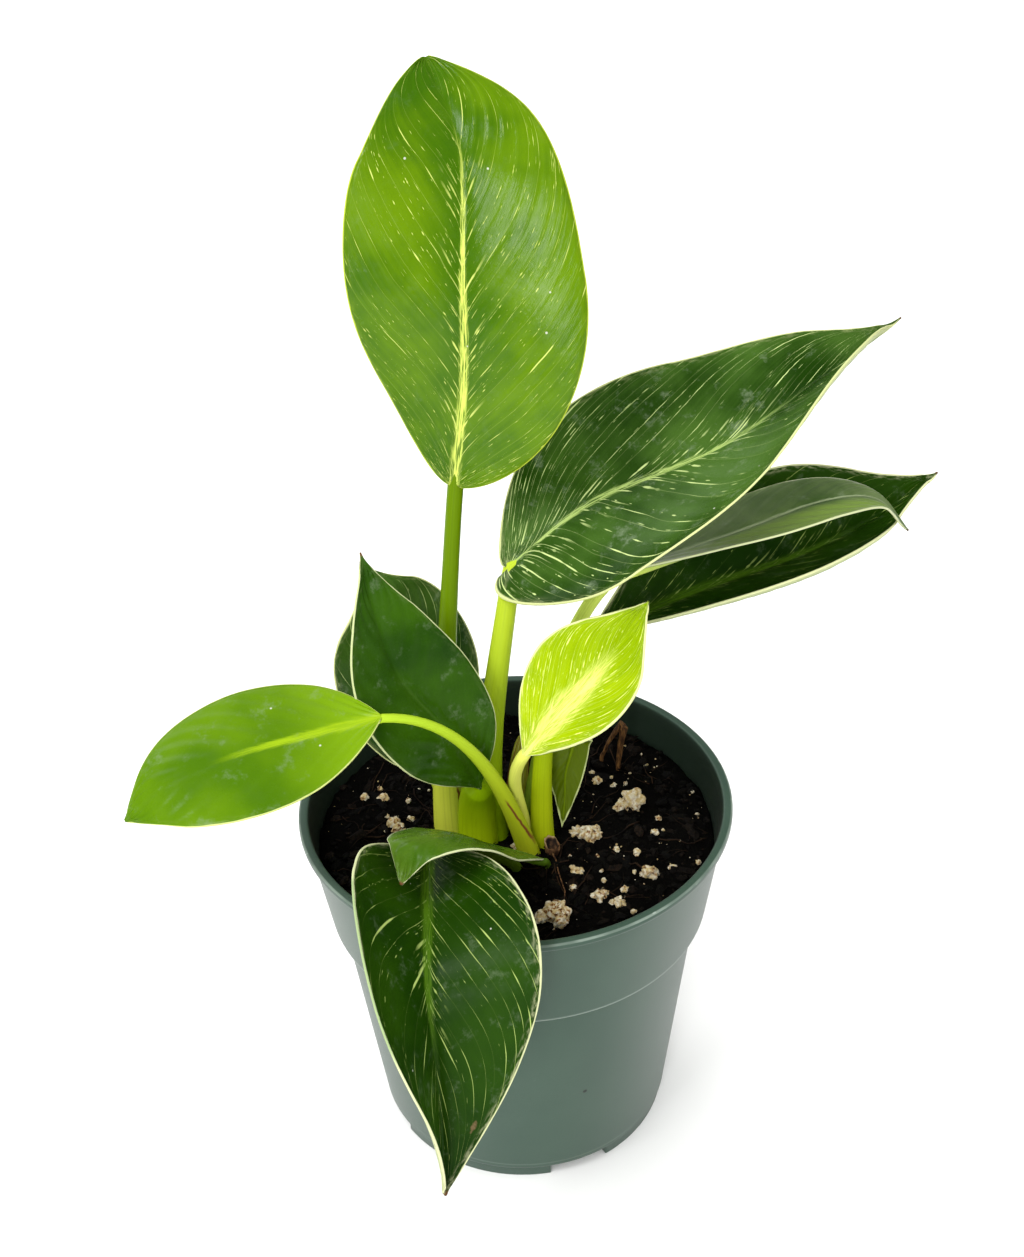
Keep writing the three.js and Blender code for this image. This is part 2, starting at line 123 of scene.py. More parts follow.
class Finish:
    """The finish of one surface, built up from the small steps that its pattern is made of."""

    def __init__(self, name, **sockets):
        self.material = bpy.data.materials.new(name)
        self.material.use_nodes = True
        self.tree = self.material.node_tree
        self.shader = self.tree.nodes["Principled BSDF"]
        self.set(**sockets)

    def feed(self, socket, value):
        if isinstance(value, Pattern):
            self.tree.links.new(value.socket, socket)
        elif socket.type == "RGBA":
            socket.default_value = (*value, 1)
        else:
            socket.default_value = value

    def set(self, **sockets):
        for name, value in sockets.items():
            self.feed(self.shader.inputs[name.replace("_", " ")], value)

    def node(self, kind, inputs=None, output=0, **settings):
        made = self.tree.nodes.new("ShaderNode" + kind)
        for name, value in settings.items():
            setattr(made, name, value)
        for key, value in (inputs or {}).items():
            self.feed(made.inputs[key], value)
        return Pattern(self, made.outputs[output])

    def math(self, operation, *values):
        return self.node("Math", dict(enumerate(values)), operation=operation)

    def place(self, scale=(1, 1, 1)):
        """The place on the object in millimetres, stretched by scale."""
        spot = self.node("TexCoord", output=3)
        return self.node("Mapping", {"Vector": spot, "Scale": [part / MM for part in scale]})

    def values(self, name):
        """The three numbers that the piece's own attribute holds at each point."""
        return self.split(self.node("Attribute", output=1, attribute_name=name))

    def split(self, vector):
        parts = self.node("SeparateXYZ", {"Vector": vector})
        return parts, parts.outlet(1), parts.outlet(2)

    def join(self, *values):
        return self.node("CombineXYZ", dict(enumerate(values)))

    def grain(self, where, scale=1.0, detail=2.0, roughness=0.5):
        steps = {"Vector": where, "Scale": scale, "Detail": detail, "Roughness": roughness}
        return self.node("TexNoise", steps)

    def bump(self, height, depth):
        """Relief of that depth in millimetres."""
        self.set(Normal=self.node("Bump", {"Height": height, "Distance": depth * MM, "Strength": 1}))


def piece_from(bm, name, finish, smooth=True):
    """A finished mesh object at the origin, with its place in its mesh, in metres."""
    bmesh.ops.transform(bm, matrix=Matrix.Scale(MM, 4), verts=bm.verts)
    mesh = bpy.data.meshes.new(name)
    bm.to_mesh(mesh)
    bm.free()
    mesh.polygons.foreach_set("use_smooth", [smooth] * len(mesh.polygons))
    for one in finish if isinstance(finish, (list, tuple)) else [finish]:
        mesh.materials.append(one.material)
    made = bpy.data.objects.new(name, mesh)
    bpy.context.scene.collection.objects.link(made)
    return made


FLOOR_HALF = 3000
FLOOR_WHITE = (0.93, 0.93, 0.925)
FLOOR_PALE = (0.94, 0.94, 0.935)
floor_finish = Finish("table_top", Roughness=0.75)
mottle = floor_finish.grain(floor_finish.place(), scale=0.02)
floor_finish.set(Base_Color=mottle.blend(FLOOR_WHITE, FLOOR_PALE))
bm = bmesh.new()
bmesh.ops.create_grid(bm, x_segments=2, y_segments=2, size=FLOOR_HALF)
piece_from(bm, "table_top", floor_finish)

ROOM_WHITE = (1.0, 0.998, 0.99)
ROOM_BRIGHTNESS = 1.25
ROOM_IN_GLOSS = 0.18
world = bpy.data.worlds.new("room")
world.use_nodes = True
room = world.node_tree.nodes["Background"]
room.inputs["Color"].default_value = (*ROOM_WHITE, 1)
ray = world.node_tree.nodes.new("ShaderNodeLightPath")
brightness = world.node_tree.nodes.new("ShaderNodeMapRange")
brightness.inputs["To Min"].default_value = ROOM_BRIGHTNESS
brightness.inputs["To Max"].default_value = ROOM_IN_GLOSS
world.node_tree.links.new(ray.outputs["Is Glossy Ray"], brightness.inputs["Value"])
world.node_tree.links.new(brightness.outputs["Result"], room.inputs["Strength"])
bpy.context.scene.world = world
bpy.context.scene.view_settings.view_transform = "Standard"


LAMP_AIM = Vector((0, 0, 0.12))


def soft_lamp(name, place, size, power):
    """A lamp of that width and height in metres, which shines at the middle of the plant."""
    lamp = bpy.data.lights.new(name, "AREA")
    lamp.shape = "RECTANGLE"
    lamp.size, lamp.size_y = size
    lamp.energy = power
    made = bpy.data.objects.new(name, lamp)
    made.location = place
    made.rotation_euler = (LAMP_AIM - Vector(place)).to_track_quat("-Z", "Y").to_euler()
    bpy.context.scene.collection.objects.link(made)


soft_lamp("key_lamp", (-0.75, -0.8, 1.6), size=(0.6, 0.6), power=15)
soft_lamp("rear_lamp", (-1.0, 1.3, 1.3), size=(1.2, 1.2), power=10)
soft_lamp("front_lamp", (-0.36, -1.46, 0.64), size=(0.26, 0.8), power=8)


# ------------------------------------------------------------------ pot
# A thin moulded nursery pot of muted green plastic: a tapered body, a wide band above a step, a
# rolled lip and a ring of feet with notches for the water. Its wall has one thickness all over.
_, pot_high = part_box("pot")
POT_HEIGHT = pot_high.z / MM
LIP_RADIUS = pot_high.x / MM
LIP_WIDTH = 2.4
LIP_HEIGHT = 2
BAND_TOP_RADIUS = 55.4
BAND_FOOT_RADIUS = 50.9
BAND_FOOT_HEIGHT = 69.8
BODY_TOP_RADIUS = 48.4
BODY_FOOT_RADIUS = 40.4
WALL = 1.5
FOOT_HEIGHT = 3.4
FOOT_RADIUS = 39.6
FOOT_WALL = 3
FOOT_GAPS = 4
FOOT_GAP_HALF = math.radians(12)
FOOT_GAP_ANGLE = math.radians(-70)
PAD_RADIUS = 9
DRAIN_RADIUS = 3
DRAIN_CIRCLE = 24
DRAIN_STEPS = 24
POT_STEPS = 120
POT_FLOOR = FOOT_HEIGHT + WALL
LIP_FOOT = POT_HEIGHT - LIP_HEIGHT
BAND_SLOPE = (BAND_TOP_RADIUS - BAND_FOOT_RADIUS) / (LIP_FOOT - BAND_FOOT_HEIGHT)
BODY_SLOPE = (BODY_TOP_RADIUS - BODY_FOOT_RADIUS) / BAND_FOOT_HEIGHT


def inner_radius(height):
    """How far the inside of the wall lies from the middle at that height."""
    if height > BAND_FOOT_HEIGHT:
        return BAND_FOOT_RADIUS + BAND_SLOPE * (height - BAND_FOOT_HEIGHT) - WALL
    return BODY_FOOT_RADIUS + BODY_SLOPE * height - WALL


def rounded(corners, radius, steps=3):
    """The points of an outline whose corners are rounded, as (distance from the axis, height). Two
    more points next to each corner keep the long walls between them flat."""
    points = [Vector(corners[0])]
    for before, corner, after in zip(corners, corners[1:], corners[2:]):
        corner = Vector(corner)
        into = Vector(before) - corner
        out = Vector(after) - corner
        cut = min(radius, 0.45 * into.length, 0.45 * out.length)
        start = corner + into.normalized() * cut
        end = corner + out.normalized() * cut
        if into.length > 5 * radius:
            points.append(start + into.normalized() * radius)
        for k in range(steps + 1):
            t = k / steps
            points.append((1 - t) ** 2 * start + 2 * t * (1 - t) * corner + t ** 2 * end)
        if out.length > 5 * radius:
            points.append(end + out.normalized() * radius)
    points.append(Vector(corners[-1]))
    return points


def spin_outline(bm, outline, steps):
    """Turns an outline once round the axis of the pot."""
    made = [bm.verts.new((point[0], 0, point[1])) for point in outline]
    edges = [bm.edges.new(pair) for pair in zip(made, made[1:])]
    bmesh.ops.spin(bm, geom=made + edges, cent=(0, 0, 0), axis=(0, 0, 1),
                   angle=2 * math.pi, steps=steps, use_merge=True)


def points_in(geometry):
    return [part for part in geometry if isinstance(part, bmesh.types.BMVert)]


def edges_in(geometry):
    return [part for part in geometry if isinstance(part, bmesh.types.BMEdge)]


def edges_of(points):
    """The edges that start at those points, each once and always in the same order."""
    return list(dict.fromkeys(edge for point in points for edge in point.link_edges))


def circle_at(bm, radius, height, steps, middle=(0, 0)):
    """A ring of edges, flat at that height."""
    place = Matrix.Translation((*middle, height))
    circle = bmesh.ops.create_circle(bm, segments=steps, radius=radius, matrix=place)["verts"]
    return edges_of(circle)


outside = rounded([
    (FOOT_RADIUS - FOOT_WALL, FOOT_HEIGHT), (FOOT_RADIUS, FOOT_HEIGHT),
    (BODY_FOOT_RADIUS, FOOT_HEIGHT + 0.4), (BODY_TOP_RADIUS, BAND_FOOT_HEIGHT - 0.8),
    (BODY_TOP_RADIUS + 0.4, BAND_FOOT_HEIGHT), (BAND_FOOT_RADIUS, BAND_FOOT_HEIGHT),
    (BAND_TOP_RADIUS, LIP_FOOT), (LIP_RADIUS, LIP_FOOT), (LIP_RADIUS, POT_HEIGHT),
    (LIP_RADIUS - LIP_WIDTH, POT_HEIGHT), (inner_radius(LIP_FOOT), LIP_FOOT - 0.5),
    (inner_radius(BAND_FOOT_HEIGHT + 1), BAND_FOOT_HEIGHT + 1),
    (inner_radius(BAND_FOOT_HEIGHT - 1), BAND_FOOT_HEIGHT - 1), (inner_radius(POT_FLOOR), POT_FLOOR),
], radius=0.6)
outside[1:5] = [Vector((FOOT_RADIUS, FOOT_HEIGHT))]
bm = bmesh.new()
spin_outline(bm, outside, POT_STEPS)
under = circle_at(bm, FOOT_RADIUS - FOOT_WALL, FOOT_HEIGHT, POT_STEPS)
inside = circle_at(bm, inner_radius(POT_FLOOR), POT_FLOOR, POT_STEPS)
under += circle_at(bm, PAD_RADIUS, FOOT_HEIGHT, POT_STEPS // 2)
for i in range(FOOT_GAPS):
    angle = FOOT_GAP_ANGLE + 2 * math.pi * i / FOOT_GAPS
    middle = (DRAIN_CIRCLE * math.cos(angle), DRAIN_CIRCLE * math.sin(angle))
    low_ring = circle_at(bm, DRAIN_RADIUS, FOOT_HEIGHT, DRAIN_STEPS, middle)
    high_ring = circle_at(bm, DRAIN_RADIUS, POT_FLOOR, DRAIN_STEPS, middle)
    bmesh.ops.bridge_loops(bm, edges=low_ring + high_ring)
    under += low_ring
    inside += high_ring
bmesh.ops.triangle_fill(bm, use_beauty=True, edges=under, normal=(0, 0, -1))
bmesh.ops.triangle_fill(bm, use_beauty=True, edges=inside, normal=(0, 0, 1))
pad_ring = circle_at(bm, PAD_RADIUS, FOOT_HEIGHT, POT_STEPS // 2)
low_pad = bmesh.ops.extrude_edge_only(bm, edges=pad_ring)["geom"]
bmesh.ops.translate(bm, vec=(0, 0, -FOOT_HEIGHT), verts=points_in(low_pad))
bmesh.ops.contextual_create(bm, geom=[edge for edge in edges_in(low_pad)
                                      if all(v.co.z < 0.01 for v in edge.verts)])
bmesh.ops.remove_doubles(bm, verts=bm.verts, dist=0.01)


def in_a_gap(point):
    """Whether a point of the foot ring lies in one of the notches."""
    turn = (math.atan2(point.y, point.x) - FOOT_GAP_ANGLE) % (2 * math.pi / FOOT_GAPS)
    return min(turn, 2 * math.pi / FOOT_GAPS - turn) < FOOT_GAP_HALF


feet = []
for face in bm.faces:
    middle = face.calc_center_median()
    if (abs(middle.z - FOOT_HEIGHT) < 0.01 and not in_a_gap(middle)
            and FOOT_RADIUS - FOOT_WALL < middle.xy.length < FOOT_RADIUS):
        feet.append(face)
grown = bmesh.ops.extrude_face_region(bm, geom=feet)["geom"]
bmesh.ops.delete(bm, geom=feet, context="FACES_ONLY")
bmesh.ops.translate(bm, vec=(0, 0, -FOOT_HEIGHT), verts=points_in(grown))
bmesh.ops.recalc_face_normals(bm, faces=bm.faces)
sharp = [edge for edge in bm.edges
         if edge.calc_face_angle(0) > 0.9 and edge.verts[0].co.z < FOOT_HEIGHT + 0.1
         and edge.verts[0].co.xy.length > FOOT_RADIUS - FOOT_WALL - 0.1]
bmesh.ops.bevel(bm, geom=sharp, offset=0.3, segments=2, profile=0.5, affect="EDGES", material=-1)

POT_GREEN = (0.036, 0.068, 0.049)
POT_PALE = (0.045, 0.080, 0.058)
POT_DEEP = (0.029, 0.056, 0.040)
POT_WEAR_AND_HIGHLIGHT = (0.28, 0.34, 0.29)
POT_INSIDE_SHADE = (0.006, 0.009, 0.005)
GRIT_PLACE = (15.7, -41.4, 34.2)
GRIT_BLACK = (0.008, 0.010, 0.008)
INSIDE_SHADE_LOW = 86
plastic = Finish("green_pot_plastic")
spot = plastic.place()
x, y, z = plastic.split(spot)
cloud = plastic.grain(spot, scale=0.035, detail=3)
speckle = plastic.grain(spot, scale=1.6)
colour = cloud.rise(0.3, 0.7).blend(POT_GREEN, POT_PALE)
colour = (0.4 * speckle.rise(0.55, 0.8)).blend(colour, POT_DEEP)
from_axis = (x * x + y * y).math("SQRT")
# The thin pale line all round the lip's outer edge is a painted highlight, and the rubbed patches and chips
# on it are real wear.
lip_edge = (from_axis.rise(LIP_RADIUS - 0.6, LIP_RADIUS - 0.35)
            * z.rise(POT_HEIGHT - 0.6, POT_HEIGHT - 0.35))
step_edge = (z.rise(BAND_FOOT_HEIGHT - 0.5, BAND_FOOT_HEIGHT - 0.2)
             * z.rise(BAND_FOOT_HEIGHT + 1.2, BAND_FOOT_HEIGHT + 0.3)
             * from_axis.rise(BAND_FOOT_RADIUS - 0.6, BAND_FOOT_RADIUS - 0.1))
rubbed = plastic.grain(spot, scale=0.12).rise(0.35, 0.65)
chipped = plastic.grain(spot, scale=0.35, detail=3).rise(0.64, 0.70)
highlight_and_wear = 0.28 + 0.3 * rubbed + 0.9 * chipped
parting_line = z.rise(5, 5.4) * z.rise(5.9, 5.5)
edge_highlight_and_wear = (lip_edge * highlight_and_wear).most(0.45 * step_edge, 0.14 * parting_line)
upright = plastic.place((1, 1, 0.35))
dust = plastic.grain(upright, scale=0.3, detail=6, roughness=0.75).rise(0.6, 0.82)
colour = edge_highlight_and_wear.most(0.16 * dust).blend(colour, POT_WEAR_AND_HIGHLIGHT)
# Painted shade: the inner wall, from a little under the soil up to the lip, is painted much darker, where
# shade falls inside the pot.
outside_at = BAND_FOOT_RADIUS - BAND_FOOT_HEIGHT * BAND_SLOPE + BAND_SLOPE * z
inside_shade = (outside_at - from_axis).rise(0.9, 1.3) * z.rise(INSIDE_SHADE_LOW, INSIDE_SHADE_LOW + 1)
colour = (0.8 * inside_shade).blend(colour, POT_INSIDE_SHADE)
gaps = [part - at for part, at in zip((x, y, z), GRIT_PLACE)]
grit = sum(gap * gap for gap in gaps).rise(0.6, 0.2)
turned_away = plastic.node("LayerWeight", {"Blend": 0.5}, output=1)
plastic.set(Base_Color=grit.blend(colour, GRIT_BLACK), Roughness=0.36 + 0.12 * cloud + 0.25 * dust,
            Specular_IOR_Level=0.2 + 0.7 * turned_away.rise(0.35, 0.9))
plastic.bump(plastic.grain(spot, scale=2.6, detail=3, roughness=0.7), depth=0.05)
pot = piece_from(bm, "nursery_pot", plastic)
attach(pot, "root")
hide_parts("pot")


# ------------------------------------------------------------------ soil
# Dark potting mix pressed loosely into the pot, with a rough top. Crumbs and slivers of bark lie
# on it, fine root hairs run over it, and grains of white perlite stick out of it.
SOIL_LEVEL = 91
SOIL_RINGS = 70
SOIL_STEPS = 220
SOIL_BLACK = (0.0016, 0.0013, 0.0010)
SOIL_BROWN = (0.0044, 0.0028, 0.0018)
SOIL_CLEAR = 0.4


def soil_height(x, y):
    """The height of the rough top of the soil."""
    spot = Vector((x, y, 3.7))
    waves = 1.3 * noise.noise(spot / 13) + 1.0 * noise.noise(spot / 5)
    clods = 1.1 * abs(noise.noise(spot / 2.6)) + 0.5 * noise.noise(spot / 1.1)
    return SOIL_LEVEL + waves + clods


bm = bmesh.new()
rim = inner_radius(SOIL_LEVEL) - SOIL_CLEAR
outline = [(0, POT_FLOOR + SOIL_CLEAR), (inner_radius(POT_FLOOR) - SOIL_CLEAR, POT_FLOOR + SOIL_CLEAR),
           (inner_radius(BAND_FOOT_HEIGHT - 1) - SOIL_CLEAR, BAND_FOOT_HEIGHT - 1),
           (inner_radius(BAND_FOOT_HEIGHT - 1) - SOIL_CLEAR, BAND_FOOT_HEIGHT + 1.5),
           (inner_radius(SOIL_LEVEL - 4) - SOIL_CLEAR, SOIL_LEVEL - 4)]
outline += [(rim * (1 - i / SOIL_RINGS) ** 0.9, SOIL_LEVEL) for i in range(SOIL_RINGS + 1)]
spin_outline(bm, outline, SOIL_STEPS)
bmesh.ops.remove_doubles(bm, verts=bm.verts, dist=0.02)
for vert in bm.verts:
    if vert.co.z > SOIL_LEVEL - 1:
        edge_share = max(0, 1 - (rim - vert.co.xy.length) / 3)
        vert.co.z = soil_height(vert.co.x, vert.co.y) - 1.2 * edge_share
bmesh.ops.recalc_face_normals(bm, faces=bm.faces)
soil_finish = Finish("potting_soil", Roughness=0.95, Specular_IOR_Level=0.06)
spot = soil_finish.place()
bits = soil_finish.grain(spot, scale=0.9, detail=6, roughness=0.7)
soil_finish.set(Base_Color=bits.rise(0.5, 0.75).blend(SOIL_BLACK, SOIL_BROWN))
soil_finish.bump(soil_finish.grain(spot, scale=1.8, detail=8, roughness=0.75), depth=0.8)
soil = piece_from(bm, "potting_soil", soil_finish)
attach(soil, "root")
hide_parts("soil")

chance = random.Random(7)


def somewhere_on_soil(reach=None):
    """A chance place on top of the soil."""
    distance = (reach or rim - 1.5) * math.sqrt(chance.random())
    angle = 2 * math.pi * chance.random()
    return distance * math.cos(angle), distance * math.sin(angle)


def heap_up(heap, bm):
    """Adds a small piece to a heap of many, which stays quick however large the heap has grown."""
    part = bpy.data.meshes.new("part")
    bm.to_mesh(part)
    bm.free()
    heap.from_mesh(part)
    bpy.data.meshes.remove(part)


def add_lump(heap, x, y, lift, size, rough, fineness=2, tone=0.5):
    """A rough lump of that size each way, turned by chance, whose middle is lifted that far over the
    soil. Tone is its share of the paler colour."""
    bm = bmesh.new()
    shade = bm.verts.layers.float_vector.new("tone")
    bmesh.ops.create_icosphere(bm, subdivisions=fineness, radius=1)
    shift = Vector([50 * chance.random() for _ in range(3)])
    for vert in bm.verts:
        dents = noise.noise(1.5 * vert.co + shift) + 0.25 * noise.noise(5 * vert.co + shift)
        vert.co *= 1 + rough * dents
        vert[shade] = (tone, 0, 0)
    turn = Matrix.Rotation(6.28 * chance.random(), 4, "Z")
    tilt = Matrix.Rotation(0.9 * (chance.random() - 0.5), 4, "X")
    place = Matrix.Translation((x, y, soil_height(x, y) + lift))
    bm.transform(place @ turn @ tilt @ Matrix.Diagonal((*size, 1)))
    heap_up(heap, bm)


CRUMBS = 1500
CRUMB_BROWN = (0.014, 0.0075, 0.004)
bm = bmesh.new()
for _ in range(CRUMBS):
    x, y = somewhere_on_soil()
    size = 0.35 + 1.1 * chance.random() ** 3
    longer = 1 + 1.6 * chance.random() ** 2
    add_lump(bm, x, y, 0.1 * size, (size * longer, size, 0.7 * size), 0.7,
             fineness=2 if size > 0.8 else 1, tone=chance.random() ** 4)
crumb_finish = Finish("soil_crumbs", Roughness=0.8, Specular_IOR_Level=0.1)
flecks = crumb_finish.grain(crumb_finish.place(), scale=1.5, detail=4)
brown = crumb_finish.values("tone")[0] * flecks.rise(0.25, 0.7)
crumb_finish.set(Base_Color=brown.blend(SOIL_BLACK, CRUMB_BROWN))
crumb_finish.bump(flecks, depth=0.3)
crumbs = piece_from(bm, "soil_crumbs", crumb_finish, smooth=False)
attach(crumbs, "root")


def frames_along(path):
    """A place and an upright for each point of a path, turned as little as possible between them."""
    steps = [b - a for a, b in zip(path, path[1:])]
    aims = [steps[0]] + [(a + b) for a, b in zip(steps, steps[1:])] + [steps[-1]]
    aims = [aim.normalized() for aim in aims]
    across = aims[0].orthogonal().normalized()
    frames = []
    for point, aim in zip(path, aims):
        across = (across - aim * across.dot(aim)).normalized()
        columns = Matrix((across, aim.cross(across), aim)).transposed().to_4x4()
        frames.append(Matrix.Translation(point) @ columns)
    return frames


def grow_tube(heap, path, radii, sides=12, flatness=1.0):
    """Draws a ring out along a path, closed at both ends, and notes how far round and along it runs."""
    bm = bmesh.new()
    run = bm.verts.layers.float_vector.new("run")
    circle = bmesh.ops.create_circle(bm, cap_ends=True, segments=sides, radius=1)["verts"]
    for vert in circle:
        vert[run] = (0, vert.co.x, vert.co.y)
    ring = edges_of(circle)
    places = [frame_at @ Matrix.Diagonal((radius, flatness * radius, 1, 1))
              for frame_at, radius in zip(frames_along(path), radii)]
    bmesh.ops.transform(bm, matrix=places[0], verts=circle)
    for i in range(1, len(path)):
        drawn = bmesh.ops.extrude_edge_only(bm, edges=ring)["geom"]
        fresh = points_in(drawn)
        ring = [edge for edge in edges_in(drawn) if all(vert in fresh for vert in edge.verts)]
        for vert in fresh:
            vert[run] = (i / (len(path) - 1), *vert[run].yz)
        bmesh.ops.transform(bm, matrix=places[i] @ places[i - 1].inverted(), verts=fresh)
    bmesh.ops.contextual_create(bm, geom=ring)
    bmesh.ops.recalc_face_normals(bm, faces=bm.faces)
    heap_up(heap, bm)


HAIRS = 150
HAIR_STEPS = 7
HAIR_BLACK = (0.003, 0.002, 0.0015)
HAIR_BROWN = (0.026, 0.013, 0.006)
bm = bmesh.new()
for _ in range(HAIRS):
    x, y = somewhere_on_soil(rim - 5)
    heading = 2 * math.pi * chance.random()
    path = []
    for _ in range(HAIR_STEPS):
        if math.hypot(x, y) < rim - 1:
            path.append(Vector((x, y, soil_height(x, y) + 0.35 + 0.5 * chance.random())))
        heading += 0.9 * (chance.random() - 0.5)
        step = 1.2 + 1.6 * chance.random()
        x, y = x + step * math.cos(heading), y + step * math.sin(heading)
    if len(path) > 2:
        thick = 0.1 + 0.22 * chance.random() ** 3
        grow_tube(bm, path, [thick * (1 - 0.6 * k / len(path)) for k in range(len(path))], sides=4)
hair_finish = Finish("root_hairs", Roughness=0.8, Specular_IOR_Level=0.1)
shade = hair_finish.grain(hair_finish.place(), scale=0.12).rise(0.35, 0.7)
hair_finish.set(Base_Color=shade.blend(HAIR_BLACK, HAIR_BROWN))
hairs = piece_from(bm, "root_hairs", hair_finish)
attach(hairs, "root")

# The larger grains of perlite: how far right, how far back and their radius.
GRAINS = [
    (31.5, 7, 3.2), (28, 5, 2), (19, -4.5, 3), (16, -3, 1.9), (9.5, -37, 3.4), (5.5, -38, 2),
    (34, -21.5, 2.3), (22.5, 17.5, 1.5), (-32.5, 2.5, 1.9), (-31.5, 0, 1.8), (-35, 5.5, 1.1),
    (-0.5, -8, 1.5), (36.5, -5, 1.3), (20.5, -30, 1.9), (25, -32, 1.7), (15, -20, 1.6),
    (14, -26, 1.1), (31, -14, 1.1), (40, -18.5, 1.2), (27, -27, 1.1), (-41, 13, 1.2), (-36, 13, 1.4),
    (-28, 4, 1.1), (-29, 12, 0.9), (27, 14.5, 0.8), (38, 1, 0.9), (26, -10.5, 1), (21, -13, 0.9),
]
GRAINS_SMALL = 105
GRAINS_TINY = 220
PERLITE_CREAM = (0.58, 0.44, 0.20)
PERLITE_WHITE = (0.76, 0.70, 0.54)
PERLITE_RUST = (0.28, 0.105, 0.010)
bm = bmesh.new()
for x, y, radius in GRAINS:
    tone = 0.5 + 0.5 * chance.random()
    squash = (0.9, 0.65 + 0.25 * chance.random(), 0.7)
    add_lump(bm, x, y, 0.35 * radius, [radius * part for part in squash], 0.7, fineness=4, tone=tone)
    for _ in range(3 if radius > 1.4 else 0):
        turn, part = 2 * math.pi * chance.random(), radius * (0.3 + 0.3 * chance.random())
        beside = (x + 0.8 * radius * math.cos(turn), y + 0.7 * radius * math.sin(turn))
        add_lump(bm, *beside, 0.6 * part, (part, 0.8 * part, 0.8 * part), 0.7, fineness=3, tone=tone)
for _ in range(GRAINS_SMALL):
    x, y = somewhere_on_soil()
    radius = 0.25 + 0.65 * chance.random() ** 2
    add_lump(bm, x, y, 0.4 * radius, (radius, 0.8 * radius, 0.8 * radius), 0.6, tone=chance.random())
for _ in range(GRAINS_TINY):
    x, y = somewhere_on_soil()
    radius = 0.1 + 0.2 * chance.random() ** 2
    add_lump(bm, x, y, 0.5 * radius, (radius, 0.7 * radius, 0.7 * radius), 0.6, fineness=1)
perlite_finish = Finish("perlite", Roughness=0.9)
spot = perlite_finish.place()
chalk = perlite_finish.grain(spot, scale=0.9).rise(0.4, 0.65).blend(PERLITE_CREAM, PERLITE_WHITE)
pits = perlite_finish.grain(spot, scale=0.85, detail=4, roughness=0.65)
rust = pits.rise(0.52, 0.58) * perlite_finish.values("tone")[0]
chalk = rust.blend(chalk, PERLITE_RUST)
perlite_finish.set(Base_Color=pits.rise(0.60, 0.66).blend(chalk, SOIL_BROWN))
perlite_finish.bump(perlite_finish.grain(spot, scale=1.7, detail=5, roughness=0.8), depth=0.7)
perlite = piece_from(bm, "perlite_grains", perlite_finish)
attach(perlite, "root")
